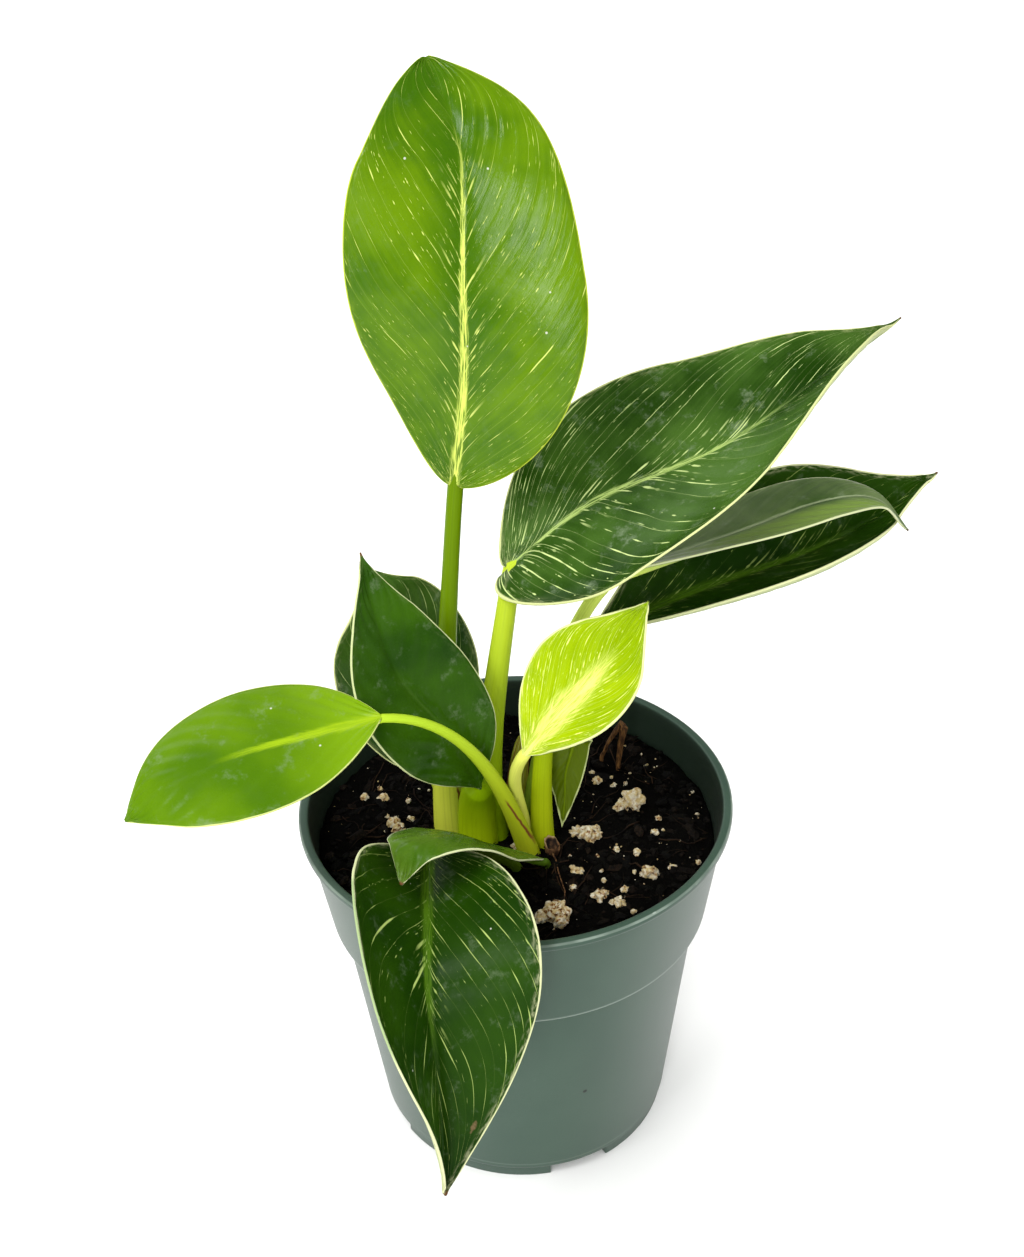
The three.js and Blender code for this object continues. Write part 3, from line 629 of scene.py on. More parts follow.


# ------------------------------------------------------------------ leaves
# Each leaf is a thin waxy blade on a round stalk that runs on as the rib under the blade. The
# blades carry fine cream stripes along their side veins and a pale line along their margin.

# A midrib is five points from the stalk to the tip, and face is the way its upper side looks at the
# base and at the tip. Shoulder and taper shape the outline, and skew makes the first side wider, at
# the base and at the tip. Lobe, fold, curl and sweep have a value for each side: how far it reaches
# back at the stalk, how steeply it rises at the base and at the tip, how much more its margin does,
# and how far its veins lean. Near is the colour of the first side, which the painted grey sheen on
# the rest of that blade leaves out. A stalk is three points of its curve. Its colours are those of its
# foot and its top, the share of its length where they have changed, and that of a lit stretch. A seam
# runs between two places (right, up), a scar has a place (along, across), and a rolled margin has a
# start, an end and a width.
LEAVES = {
    "tall": dict(
        midrib=[(-12, 11, 189), (-8.5, 10, 215.5), (-7.5, 13, 241), (-7, 21, 268.5), (-14, 37.5, 284.5)],
        face=[(-0.2, -0.85, 0.5), (0.05, -0.65, 0.75)],
        half_width=27.5, shoulder=0.75, taper=0.8, lobe=(1.5, 1.5), skew=(0.25, -0.2),
        fold=[(0.1, 0.05), (0.15, 0.2)], curl=(-0.2, -0.15),
        stalk=[(-16.8, -1, 84), (-19.6, 2, 119.5), (-14.6, 4.5, 155)], foot_radius=5, top_radius=2,
        slot="leaf_mid", stalk_colours=((0.60, 0.66, 0.060), (0.100, 0.180, 0.0002), 0.27),
        seam=((-15, 107), (-13.4, 93)), dry_tip=0, look="bright"),
    "broad_right": dict(
        midrib=[(1, 12.5, 165), (22, 18, 179), (56, 26.5, 189.5), (85, 39, 204.5), (103, 53, 210)],
        face=[(-0.05, -0.65, 0.75), (-0.35, -0.05, 0.95)],
        half_width=30.5, shoulder=1.05, taper=1.75, lobe=(10, 4), skew=(0.25, -0.15),
        fold=[(0.03, 0.75), (0.2, 0.3)], curl=(0.72, 0.2),
        stalk=[(-5, -2.5, 84), (-10.5, -1.5, 114), (-1.5, 7, 141)],
        foot_radius=4.2, top_radius=2.4, flare=1.3,
        slot="leaf_dark", stalk_colours=((0.24, 0.38, 0.001), (0.42, 0.54, 0.026)),
        sweep=(0.48, 1.2), look="striped"),
    "rear_right": dict(
        midrib=[(21.5, 15.5, 141.5), (50, 25, 147.5), (77.5, 33, 152.5), (99, 44, 157), (116, 50, 166.5)],
        face=[(-0.1, -0.4, 0.9), (-0.1, -0.3, 0.95)],
        half_width=25.5, shoulder=1.1, taper=1.4, lobe=(1, 1), skew=(0.05, 0),
        fold=[(0.58, 0.60), (0.6, 0.7)], curl=(0.75, 0.4),
        stalk=[(3.5, -1.5, 84), (2.5, -4, 106), (9, 9, 126)], foot_radius=2.4, top_radius=1.5,
        slot="leaf_dark", stalk_colours=((0.10, 0.17, 0.010), (0.30, 0.44, 0.030)), look="sparse"),
    "arching_right": dict(
        midrib=[(26, 10, 163), (56.5, 14, 171), (79, 20.5, 175.5), (94.5, 26.5, 172.5), (104, 28, 161.5)],
        face=[(-0.1, 0, 1), (0.45, -0.35, 0.8)],
        half_width=17, shoulder=0.35, taper=1.3, lobe=(0, 0), skew=(-0.1, 0),
        fold=[(0.45, 0.2), (-0.15, -0.35)], curl=(0.35, -0.25),
        stalk=[(7, -6.5, 84), (6, -6, 111.5), (7, 2, 143.5)], foot_radius=3.6, top_radius=1.8,
        slot="leaf_dark", near=(0.150, 0.235, 0.038), look="grey_sheen",
        stalk_colours=((0.36, 0.44, 0.006), (0.17, 0.28, 0.001), 0.35, (0.54, 0.66, 0.11))),
    "dark_left": dict(
        midrib=[(-8.5, -11, 112.5), (-15, -13, 131), (-26, -13, 148), (-31.5, -10, 165), (-34.4, -6, 181.2)],
        face=[(0.15, -0.9, 0.45), (0.25, -0.8, 0.55)],
        half_width=16, shoulder=1.05, taper=1.45, lobe=(-1, -1), skew=(-0.15, 0.2),
        fold=[(0.1, 0), (0.3, 0.4)], curl=(0, 0.3),
        stalk=[(-9.6, -5.5, 84), (-10.4, -4, 94), (-10.5, -3, 109)],
        foot_radius=5.7, top_radius=1.6, flare=0.28,
        slot="leaf_dark", stalk_colours=((0.42, 0.58, 0.004), (0.20, 0.33, 0.001)), look="plain_dark"),
    "behind_left": dict(
        midrib=[(-23.5, 8.5, 106.5), (-25.5, 13, 125.5), (-27.5, 14.5, 143), (-31, 13, 157.5),
                (-37, 19.5, 162.5)],
        face=[(0.05, -0.8, 0.55), (-0.05, -0.55, 0.85)],
        half_width=19.5, shoulder=0.7, taper=1.4, lobe=(2.5, 2.5), skew=(0, -0.05),
        fold=[(-0.2, -0.45), (-0.05, -0.1)], curl=(-0.2, -0.1),
        stalk=[(-19.5, 1, 84), (-18.5, -0.5, 93.5), (-18.5, 7.5, 98)], foot_radius=3, top_radius=1.3,
        slot="leaf_dark", stalk_colours=((0.60, 0.66, 0.070), (0.30, 0.42, 0.030)), look="striped"),
    "reaching_left": dict(
        midrib=[(-30.5, -28, 149), (-47.5, -31.5, 147), (-65, -36.5, 145.5), (-81, -41.5, 141.5),
                (-91, -44.5, 133.5)],
        face=[(-0.15, -0.4, 0.9), (-0.4, -0.45, 0.8)],
        half_width=18, shoulder=0.8, taper=1, lobe=(-0.5, -0.5), skew=(0.1, -0.05),
        fold=[(-0.1, -0.15), (0, -0.1)], curl=(-0.1, 0),
        stalk=[(5, -11, 84), (-1, -10, 106), (-7, -19, 141)], foot_radius=3.3, top_radius=1.1,
        flare=1.7,
        slot="leaf_lime", stalk_colours=((0.33, 0.38, 0.010), (0.36, 0.53, 0.024)),
        seam=((-2.4, 112.5), (4.2, 97)), dry_tip=0, look="plain_lime"),
    "young_lime": dict(
        midrib=[(2.5, -17.5, 128), (11, -14.5, 137), (20, -11, 145.5), (27.5, -7, 154), (34, -6, 164.5)],
        face=[(0, -0.75, 0.65), (0.05, -0.75, 0.65)],
        half_width=15, shoulder=1.15, taper=1.25, lobe=(0.5, 0.5), skew=(-0.05, -0.05),
        fold=[(0.55, 0.55), (0.25, 0.25)], curl=(0.5, 0.1),
        stalk=[(2.5, -5.5, 84), (4, -4, 100.5), (-3.5, -10.5, 113)], foot_radius=2, top_radius=1.6,
        # Its stalk's pale colours are its own pale green with painted light added, shining through it in the
        # shade of the leaf.
        slot="leaf_lime", stalk_colours=((0.62, 0.66, 0.090), (0.66, 0.70, 0.120)),
        sweep=(1.5, 1.5), dry_tip=0, look="young"),
    "hanging_front": dict(
        midrib=[(-22, -27, 106.5), (-22, -49.5, 106), (-22, -67, 98), (-20.5, -77, 77), (-20, -85, 47.5)],
        face=[(-0.2, -0.3, 0.95), (0.5, -0.7, 0.55)],
        half_width=28.5, shoulder=0.8, taper=1.1, lobe=(0, 0), skew=(0.05, 0),
        fold=[(0.7, 0.95), (0.25, 0.4)], curl=(0.7, 0.15),
        stalk=[(-0.5, -16, 84), (5, -14.5, 95.5), (-16.5, -22.5, 102)], foot_radius=1.7, top_radius=1.3,
        slot="leaf_dark", stalk_colours=((0.05, 0.09, 0.003), (0.07, 0.13, 0.004)),
        sweep=(0.75, 1.25), scar=(0.85, -0.68), rolled=(0.26, 0.64, 2.6),
        rolled_colour=(0.33, 0.43, 0.20), look="sparse"),
    "small_folded": dict(
        midrib=[(7, -18.5, 95), (-5, -25.5, 106), (-15, -34.5, 118), (-24, -45.5, 124), (-27.5, -51, 116.5)],
        face=[(-0.05, 0.2, 1), (-0.45, -0.65, 0.65)],
        half_width=11, shoulder=1.1, taper=1.1, lobe=(0, 0), skew=(0.05, 0.15),
        fold=[(-0.25, -0.3), (-0.05, -0.1)], curl=(-0.05, 0.05),
        stalk=[(8, -15.5, 84), (8, -16, 88), (8, -17, 92.5)], foot_radius=1.3, top_radius=1,
        slot="leaf_mid", stalk_colours=((0.06, 0.08, 0.006), (0.05, 0.10, 0.005)), look="plain_mid"),
    "small_drooping": dict(
        midrib=[(15.5, 10, 118.5), (15.5, 5.5, 115), (13.5, 2, 108), (13, -1, 101.5), (12, -5, 94.5)],
        face=[(0.15, 0.5, 0.85), (0, 1, 0.1)],
        half_width=5.5, shoulder=0.6, taper=1.15, lobe=(0, 0), skew=(0, 0.05),
        fold=[(0.1, 0.05), (0.1, 0.1)], curl=(0.05, 0.1),
        stalk=[(7, 3.5, 84), (7.5, 5, 98), (11.5, 10, 114)], foot_radius=1.2, top_radius=0.9,
        slot="leaf_mid", stalk_colours=((0.16, 0.20, 0.012), (0.075, 0.115, 0.001)), look="olive"),
}
BLADE_START = 0.004
BLADE_END = 0.997
BLADE_ROWS = 90
BLADE_COLUMNS = 36
BLADE_THICKNESS = 0.5
FLAT_BELOW = (6, 2)
LOBE_PLACE = 0.04
FLARE_POWER = 2.2
VEIN_START = 0.45
VEIN_SLANT = 0.9
VEIN_BEND = 0.28
VEIN_SWEEP = (1, 1)
RIB_GROOVE = 0.45
RIB_GROOVE_WIDTH = 1.3
SWELL = 0.16
SWELL_EVERY = 7
MARGIN_WAVE = 0.6
WAVE_LENGTH = 22


def mix(pair, share):
    return pair[0] + (pair[1] - pair[0]) * share


def along_midrib(points, u):
    """The point and the direction at a share of a smooth curve through five points."""
    place = min(u, 0.9999) * (len(points) - 1)
    first = int(place)
    t = place - first
    a, b, c, d = [2 * points[0] - points[1], *points, 2 * points[-1] - points[-2]][first:first + 4]
    curved = [(c - a) / 2, a - 2.5 * b + 2 * c - d / 2, (3 * b - a - 3 * c + d) / 2]
    point = b + curved[0] * t + curved[1] * t ** 2 + curved[2] * t ** 3
    return point, (curved[0] + 2 * curved[1] * t + 3 * curved[2] * t ** 2).normalized()


def blade_frame(leaf, u):
    """The middle point, direction, side way and upper way of a blade at a share of its length."""
    point, along = along_midrib([Vector(p) for p in leaf["midrib"]], u)
    face = Vector(leaf["face"][0]).lerp(Vector(leaf["face"][1]), u)
    face = (face - along * face.dot(along)).normalized()
    return point, along, along.cross(face), face


def half_width_at(leaf, u):
    shoulder, taper = leaf["shoulder"], leaf["taper"]
    peak = shoulder / (shoulder + taper)
    return leaf["half_width"] * (u / peak) ** shoulder * ((1 - u) / (1 - peak)) ** taper


def length_of(leaf):
    points = [Vector(p) for p in leaf["midrib"]]
    return sum((b - a).length for a, b in zip(points, points[1:]))


def relief_at(leaf, u, v, width, sweep):
    """How far the upper side rises: a groove along the midrib, soft swells between the side veins
    and a slight wave along the margin. A side vein leaves the midrib slowly, runs outwards and
    then bends along the margin."""
    up = length_of(leaf) * u
    course = VEIN_START * math.sqrt(v) + VEIN_SLANT * v + VEIN_BEND * v ** 4
    vein = up - sweep * leaf["half_width"] * course
    groove = -RIB_GROOVE * math.exp(-(v * width / RIB_GROOVE_WIDTH) ** 2)
    swell = SWELL * math.cos(2 * math.pi * vein / SWELL_EVERY) * v * (1 - v) * 4
    spot = Vector((up / WAVE_LENGTH, 3.1, leaf["half_width"]))
    wave = MARGIN_WAVE * min(1, width / 15) * v ** 3 * noise.noise(spot)
    return groove + swell + wave


def grow_blade(bm, leaf):
    """Bends a flat grid into the blade. It notes the share along, the share across and the half width."""
    blade = bm.verts.layers.float_vector.new("blade")
    bmesh.ops.create_grid(bm, x_segments=BLADE_COLUMNS, y_segments=BLADE_ROWS, size=1)
    half = BLADE_COLUMNS // 2
    rows = {}
    for vert in bm.verts:
        rows.setdefault(round(BLADE_ROWS * (vert.co.y + 1) / 2), []).append(vert)
    for row, verts in rows.items():
        columns = sorted(verts, key=lambda vert: vert.co.x)
        even = row / BLADE_ROWS
        crowded = 0.5 * (1 - math.cos(math.pi * even))
        u = BLADE_START + (BLADE_END - BLADE_START) * (even + 0.85 * (crowded - even))
        point, along, side, face = blade_frame(leaf, u)
        even_width = half_width_at(leaf, u)
        opening = min(1, even_width / FLAT_BELOW[u > 0.5])
        pull = math.sqrt(u / LOBE_PLACE) * math.exp(0.5 * (1 - u / LOBE_PLACE))
        for at, sign in enumerate((1, -1)):
            width = even_width * (1 + sign * mix(leaf["skew"], u))
            fold = mix(leaf["fold"][at], u)
            sweep = leaf.get("sweep", VEIN_SWEEP)[at]
            reach, rise = 0, 0
            for k in range(half + 1):
                v = k / half
                vert = columns[half + sign * k]
                vert[blade] = (u, sign * v, width)
                slope = opening * (fold + leaf["curl"][at] * (v + 0.5 / half) ** 3)
                upward = face * math.cos(slope) - side * sign * math.sin(slope)
                vert.co = (point + side * sign * width * reach + face * width * rise
                           - along * leaf["lobe"][at] * pull * v ** 1.5
                           + upward * opening * relief_at(leaf, u, v, width, sweep))
                reach += math.cos(slope) / half
                rise += math.sin(slope) / half


# The colours and the marks of a blade. Light clouds lie on the deep green, base tints its lower end,
# and shade darkens both sides of the midrib, as far out as shade_width. A stripe runs along the
# long_share of the side veins, one every so many millimetres, broken into dashes of that length,
# which fill it more or less. Line is about half its width, trace joins the dashes faintly, and
# short_share and fleck_share add finer marks. The rib is painted over rib_span, soft or crisp, and
# frays as far out as feather. Fringe is the mottling inside the margin, and under the lower side.
PLAIN_LOOK = dict(shade=0, shade_width=4, every=3.3, long_share=0, dash=6, fill=0.7, line=0.3,
                  short_share=0, fleck_share=0, trace=0, rib_soft=0.5, rib_swell=0, feather=1,
                  fringe=0.1)
LOOKS = {
    "bright": dict(
        deep=(0.034, 0.104, 0.0003), light=(0.102, 0.202, 0.0005), shade=0.85, shade_width=10,
        stripe=(0.58, 0.65, 0.15), every=6.4, long_share=0.75, dash=5, fill=0.62,
        short_share=0.24, fleck_share=0.5, trace=0.13,
        rib=(0.56, 0.65, 0.11), rib_width=3.7, rib_span=(-0.2, 0.72), rib_soft=0.1, feather=6,
        margin=(0.44, 0.54, 0.05), margin_width=0.45, fringe=0.15,
        dust=0.08, gloss=0.16, shine=0.15, ridges=0.12, under=(0.16, 0.26, 0.03), under_edge=0.5),
    "striped": dict(
        deep=(0.0085, 0.035, 0.0006), light=(0.050, 0.115, 0.014),
        stripe=(0.56, 0.68, 0.26), every=4.2, long_share=0.78, dash=7, fill=0.72, line=0.36,
        short_share=0.35, fleck_share=0.18, trace=0.12,
        rib=(0.34, 0.46, 0.13), rib_width=3.2, rib_span=(-0.2, 0.58), rib_soft=0.1, rib_swell=0.75,
        feather=8, margin=(0.54, 0.58, 0.26), margin_width=0.55, fringe=0.4,
        dust=0.42, gloss=0.26, shine=0.07, ridges=0.10, under=(0.16, 0.24, 0.08), under_edge=0.85),
    "sparse": dict(
        deep=(0.0060, 0.029, 0.0004), light=(0.017, 0.055, 0.0014),
        stripe=(0.40, 0.52, 0.14), every=7.2, long_share=0.85, dash=9, fill=0.76, line=0.48,
        short_share=0.05, fleck_share=0.14, trace=0.05,
        rib=(0.062, 0.140, 0.006), rib_width=6, rib_span=(-0.2, 0.62), rib_soft=0.45, feather=5,
        margin=(0.62, 0.65, 0.36), margin_width=0.60, fringe=0.8,
        dust=0.22, gloss=0.30, shine=0.05, ridges=0.06, under=(0.22, 0.30, 0.11), under_edge=0.85),
    "olive": dict(
        deep=(0.010, 0.040, 0.0006), light=(0.028, 0.080, 0.003), stripe=(0.07, 0.14, 0.03),
        rib=(0.045, 0.105, 0.009), rib_width=1.0, rib_span=(-0.2, 0.8),
        margin=(0.50, 0.56, 0.24), margin_width=0.5, fringe=0,
        dust=0.06, gloss=0.24, shine=0.1, ridges=0.1, under=(0.098, 0.150, 0.0004), under_edge=0),
    # Its pale grey clouds are a painted sheen: the white sky reflected at a grazing angle.
    "grey_sheen": dict(
        deep=(0.048, 0.092, 0.020), light=(0.155, 0.215, 0.078),
        stripe=(0.26, 0.32, 0.16), long_share=0.1, dash=9, trace=0.1,
        rib=(0.30, 0.36, 0.20), rib_width=2.4, rib_span=(-0.2, 0.9),
        margin=(0.50, 0.54, 0.30), margin_width=0.5,
        dust=0.3, gloss=0.28, shine=0.2, ridges=0.10, under=(0.16, 0.22, 0.09), under_edge=0.7),
    "plain_dark": dict(
        deep=(0.0070, 0.034, 0.0004), light=(0.027, 0.082, 0.0018), stripe=(0.07, 0.14, 0.03),
        rib=(0.034, 0.086, 0.006), rib_width=1.6, rib_span=(0.1, 0.5),
        margin=(0.48, 0.53, 0.26), margin_width=0.36,
        dust=0.32, gloss=0.24, shine=0.07, ridges=0.03, under=(0.050, 0.085, 0.003), under_edge=0.25),
    "plain_mid": dict(
        deep=(0.030, 0.092, 0.001), light=(0.095, 0.175, 0.016), stripe=(0.12, 0.22, 0.03),
        rib=(0.08, 0.16, 0.012), rib_width=1.4, rib_span=(-0.2, 0.6),
        margin=(0.56, 0.60, 0.34), margin_width=0.34,
        dust=0.30, gloss=0.26, shine=0.14, ridges=0.05, under=(0.10, 0.16, 0.008), under_edge=0.25),
    "plain_lime": dict(
        deep=(0.052, 0.136, 0.0002), light=(0.098, 0.205, 0.0004), base=(0.17, 0.31, 0.002),
        stripe=(0.20, 0.34, 0.008), rib=(0.26, 0.40, 0.006), rib_width=4.2, rib_span=(-0.2, 0.48),
        rib_soft=0.6, feather=1.5, margin=(0.54, 0.60, 0.20), margin_width=0.36,
        dust=0.30, gloss=0.26, shine=0.10, ridges=0.02, under=(0.20, 0.30, 0.04), under_edge=0.5),
    # The young leaf's bright lime is its own colour with painted light added: the glow of light shining
    # through it.
    "young": dict(
        deep=(0.22, 0.345, 0.0002), light=(0.37, 0.50, 0.0003),
        stripe=(0.76, 0.81, 0.20), every=2.4, long_share=0.85, dash=3.5, fill=0.65, line=0.5,
        short_share=0.5, fleck_share=0.6, trace=0.12,
        rib=(0.76, 0.80, 0.19), rib_width=13, rib_span=(-0.2, 0.60), rib_soft=0.35, rib_swell=0.8,
        feather=6, margin=(0.66, 0.70, 0.32), margin_width=0.6, fringe=0.3,
        dust=0, gloss=0.3, shine=0.04, ridges=0.15, under=(0.42, 0.50, 0.08), under_edge=0.5),
}
DUST = (0.24, 0.30, 0.19)
DUST_WHITE = (0.55, 0.56, 0.48)
TIP_BROWN = (0.13, 0.055, 0.02)
TIP_LENGTH = 1.6
RIB_FADE = 0.12
ROLL_FADE = 0.3
SCAR_BROWN = (0.22, 0.13, 0.07)
CREAM_UNDER = (0.48, 0.52, 0.26)
RIDGES_EVERY = 3.3


def darker(colour, share):
    return [share * part for part in colour]


class BladeFinish(Finish):
    """The finish of a blade, painted by the places that grow_blade notes."""

    def __init__(self, name, leaf, look, seed):
        super().__init__(name)
        self.leaf, self.look, self.seed = leaf, look, seed
        self.length = length_of(leaf)
        self.spot = self.place()
        self.u, v, self.width = self.values("blade")
        self.off, self.side = abs(v), v.math("SIGN")
        self.up = self.length * self.u
        self.from_rib = self.off * self.width
        self.from_margin = (1 - self.off) * self.width
        course = (VEIN_START * self.off.math("SQRT") + VEIN_SLANT * self.off
                  + VEIN_BEND * self.off.math("POWER", 4))
        plus, minus = leaf.get("sweep", VEIN_SWEEP)
        sweep = (plus + minus) / 2 + (plus - minus) / 2 * self.side
        self.vein = self.up - course * sweep * leaf["half_width"]
        self.ridges = (2 * math.pi / RIDGES_EVERY * self.vein).math("SINE")

    def stripes(self, layer, every, share, width, dash, fill, trace=0):
        """Stripes along the side veins: one for each stretch of that many millimetres, of which
        that share is painted. They break into dashes of that length, which fill it more or less,
        and a faint trace joins the dashes."""
        seed = layer + self.seed
        vein, side = self.vein, self.side
        wander = self.grain(self.join(self.up, self.from_rib, side), scale=0.05)
        spot = vein / every + 3 / every * wander
        index = spot.math("FLOOR")
        luck = self.node("TexWhiteNoise", {"Vector": self.join(index, side, seed)}, output=1)
        first, second, third = self.split(luck)
        gap = abs(spot - index - (0.3 + 0.4 * first))
        far = (self.up + self.from_rib) / (2 * dash)
        gone = 0.72 - 0.36 * fill
        there = self.grain(self.join(far, 7.3 * index, seed)).rise(gone, gone + 0.16)
        wide = width / every + 0.8 * width / every * vein.rise(0, -25)
        reach = there * (0.35 + second * second) * wide
        bright = (0.45 + 0.55 * there) * (0.6 + 0.4 * second)
        line = gap.rise(reach, 0.4 * reach) * bright
        if trace:
            line = line.most(trace * gap.rise(0.42 * wide, 0.12 * wide))
        bare = 1 - share - 0.6 * share * vein.rise(-4, -16)
        return line * third.math("GREATER_THAN", bare)

    def plain_green(self):
        """What lies under the marks: clouds, a paler base, dust and a side in another green."""
        leaf, look, side, from_rib = self.leaf, self.look, self.side, self.from_rib
        cloud = self.grain(self.spot, scale=0.045, detail=3)
        streak = self.grain(self.join(0.4 * self.vein, 0.06 * from_rib, side), detail=3)
        veined = min(0.4, 1.6 * look["ridges"])
        lit = ((1 - veined) * cloud + veined * streak).rise(0.3, 0.7)
        green = lit.blend(look["deep"], look["light"])
        if "base" in look:
            green = (0.8 * self.u.rise(0.45, 0.05)).blend(green, look["base"])
        dust = self.grain(self.spot, scale=0.16, detail=9, roughness=0.75).rise(0.54, 0.72)
        green = (look["dust"] * dust).blend(green, DUST)
        if "near" in leaf:
            green = (side.rise(-0.1, 0.1) * from_rib.rise(1, 5)).blend(green, leaf["near"])
        return green

    def along_rib(self):
        """1 where the pale rib runs, fading out at both its ends."""
        start, end = self.look["rib_span"]
        begun = self.u.rise(start - RIB_FADE, start + RIB_FADE)
        return begun * self.u.rise(end + RIB_FADE, end - RIB_FADE)

    def add_stripes(self, green):
        """Dark shade beside the rib, then long stripes, short ones, flecks and the frayed rib."""
        look, u, from_rib, line = self.look, self.u, self.from_rib, self.look["line"]
        shade = from_rib.rise(look["shade_width"], 1) * u.rise(0.2, 0.45) * u.rise(0.85, 0.62)
        green = (look["shade"] * shade).blend(green, look["deep"])
        long = self.stripes(1, look["every"], look["long_share"], line, look["dash"], look["fill"],
                            look["trace"])
        short = self.stripes(2, 1.5, look["short_share"], 0.85 * line, 3.5, 0.42)
        flecks = self.stripes(3, 1, look["fleck_share"], 0.8 * line, 1.5, 0.46)
        near_rib = from_rib.rise(look["feather"], 0.25 * look["feather"]) * self.along_rib()
        feather = self.stripes(4, 2.6, 0.75, 1.6 * line, 3, 0.8) * near_rib
        lines = (0.98 * long).most(0.85 * short, 0.85 * flecks, 0.9 * feather)
        return lines.blend(green, look["stripe"])

    def add_rib(self, green):
        """The rib: it thins towards the tip, its edge is ragged and fine threads run in it."""
        look, side, up, from_rib = self.look, self.side, self.up, self.from_rib
        narrow = 0.1 + 0.9 * (1 - self.u).math("POWER", 1.1)
        swollen = 1 - look["rib_swell"] + look["rib_swell"] * self.u.rise(0, 0.32)
        half = look["rib_width"] / 2 * narrow * swollen
        steep = self.join(0.5 * (up - 3.2 * from_rib), 0.6 * from_rib, side)
        ragged = self.grain(steep, detail=4, roughness=0.7)
        rib = from_rib.rise(half * (0.1 + 2 * ragged), 0.3 * half)
        threads = self.grain(self.join(0.15 * up, 3.5 * from_rib, side)).rise(0.42, 0.53)
        threads = look["rib_soft"] + (1 - look["rib_soft"]) * threads
        return (rib * self.along_rib() * threads).blend(green, look["rib"])

    def add_margin(self, green):
        """Mottling beside the margin, the pale line on it, and where it rolls up, its lower side."""
        leaf, look, side, up, from_edge = self.leaf, self.look, self.side, self.up, self.from_margin
        inwards = self.join(0.35 * up, 1.1 * from_edge, side)
        mottled = self.grain(inwards, detail=4, roughness=0.65)
        if "rolled" in leaf:
            start, end, width = leaf["rolled"]
            roll = self.u.rise(start, start + ROLL_FADE) * self.u.rise(end, end - ROLL_FADE) * width
            from_edge = from_edge - roll * side.most(0)
        fringe = look["fringe"] * from_edge.rise(2.4, 0.4) * mottled.rise(0.44, 0.66)
        green = fringe.blend(green, darker(look["margin"], 0.55))
        uneven = self.grain(self.join(0.25 * up, side, 0), detail=3)
        slender = (0.16 * self.width).math("MINIMUM", 1)
        edge = look["margin_width"] * (0.25 + 1.1 * uneven) * slender
        green = from_edge.rise(edge, 0.5 * edge).blend(green, look["margin"])
        if "rolled" in leaf:
            green = from_edge.rise(-0.1 * edge, -0.8 * edge).blend(green, leaf["rolled_colour"])
        return green

    def add_marks(self, green):
        """A scar where the leaf has one, the brown tip and white specks of dust."""
        if "scar" in self.leaf:
            scar_up, scar_across = self.leaf["scar"]
            apart = (self.length * abs(self.u - scar_up)
                     + 1.6 * abs(self.side * self.off - scar_across) * self.width
                     + 3 * self.grain(self.spot, scale=0.9, detail=3))
            green = (0.6 * apart.rise(3.2, 1.9)).blend(green, SCAR_BROWN)
        tip = self.up.rise(self.length - TIP_LENGTH, self.length - 0.4 * TIP_LENGTH)
        green = (self.leaf.get("dry_tip", 1) * tip).blend(green, TIP_BROWN)
        cells = self.node("TexVoronoi", {"Vector": self.spot, "Scale": 0.16})
        chosen = self.split(cells.outlet(1))[0].math("GREATER_THAN", 0.72)
        return (0.8 * cells.rise(0.055, 0.035) * chosen).blend(green, DUST_WHITE)

    def paint_upper(self):
        look, spot = self.look, self.spot
        green = self.add_rib(self.add_stripes(self.plain_green()))
        green = self.add_marks(self.add_margin(green))
        smears = self.grain(spot, scale=0.25, detail=6, roughness=0.65).rise(0.45, 0.75)
        self.set(Base_Color=green, Roughness=look["gloss"] + 0.15 * smears,
                 Specular_IOR_Level=look["shine"])
        fine = self.grain(self.join(1.6 * self.vein, 0.5 * self.from_rib, self.side))
        relief = look["ridges"] * (self.ridges + 4 * fine) + 0.7 * self.grain(spot, scale=0.5)
        self.bump(relief, depth=0.07)

    def paint_under(self):
        look = self.look
        cloud = self.grain(self.spot, scale=0.06, detail=3)
        green = cloud.blend(darker(look["under"], 0.8), look["under"])
        lines = 0.4 * look["under_edge"] * self.stripes(5, 3.3, look["long_share"], 0.5, 9, 0.8)
        edge = look["under_edge"] * self.from_margin.rise(4.5, 0.8)
        green = lines.most(edge).blend(green, CREAM_UNDER)
        rim = self.from_margin.rise(look["margin_width"], 0.5 * look["margin_width"])
        self.set(Base_Color=rim.blend(green, look["margin"]), Roughness=0.5, Specular_IOR_Level=0.12)
        self.bump(self.ridges, depth=0.08)


# The stalks: round, yellow-green and finely ribbed, thickest where they clasp the crown. Two of them
# have a brown seam, where the dry edge of the sheath has torn off.
SEAM_BROWN = (0.16, 0.055, 0.015)


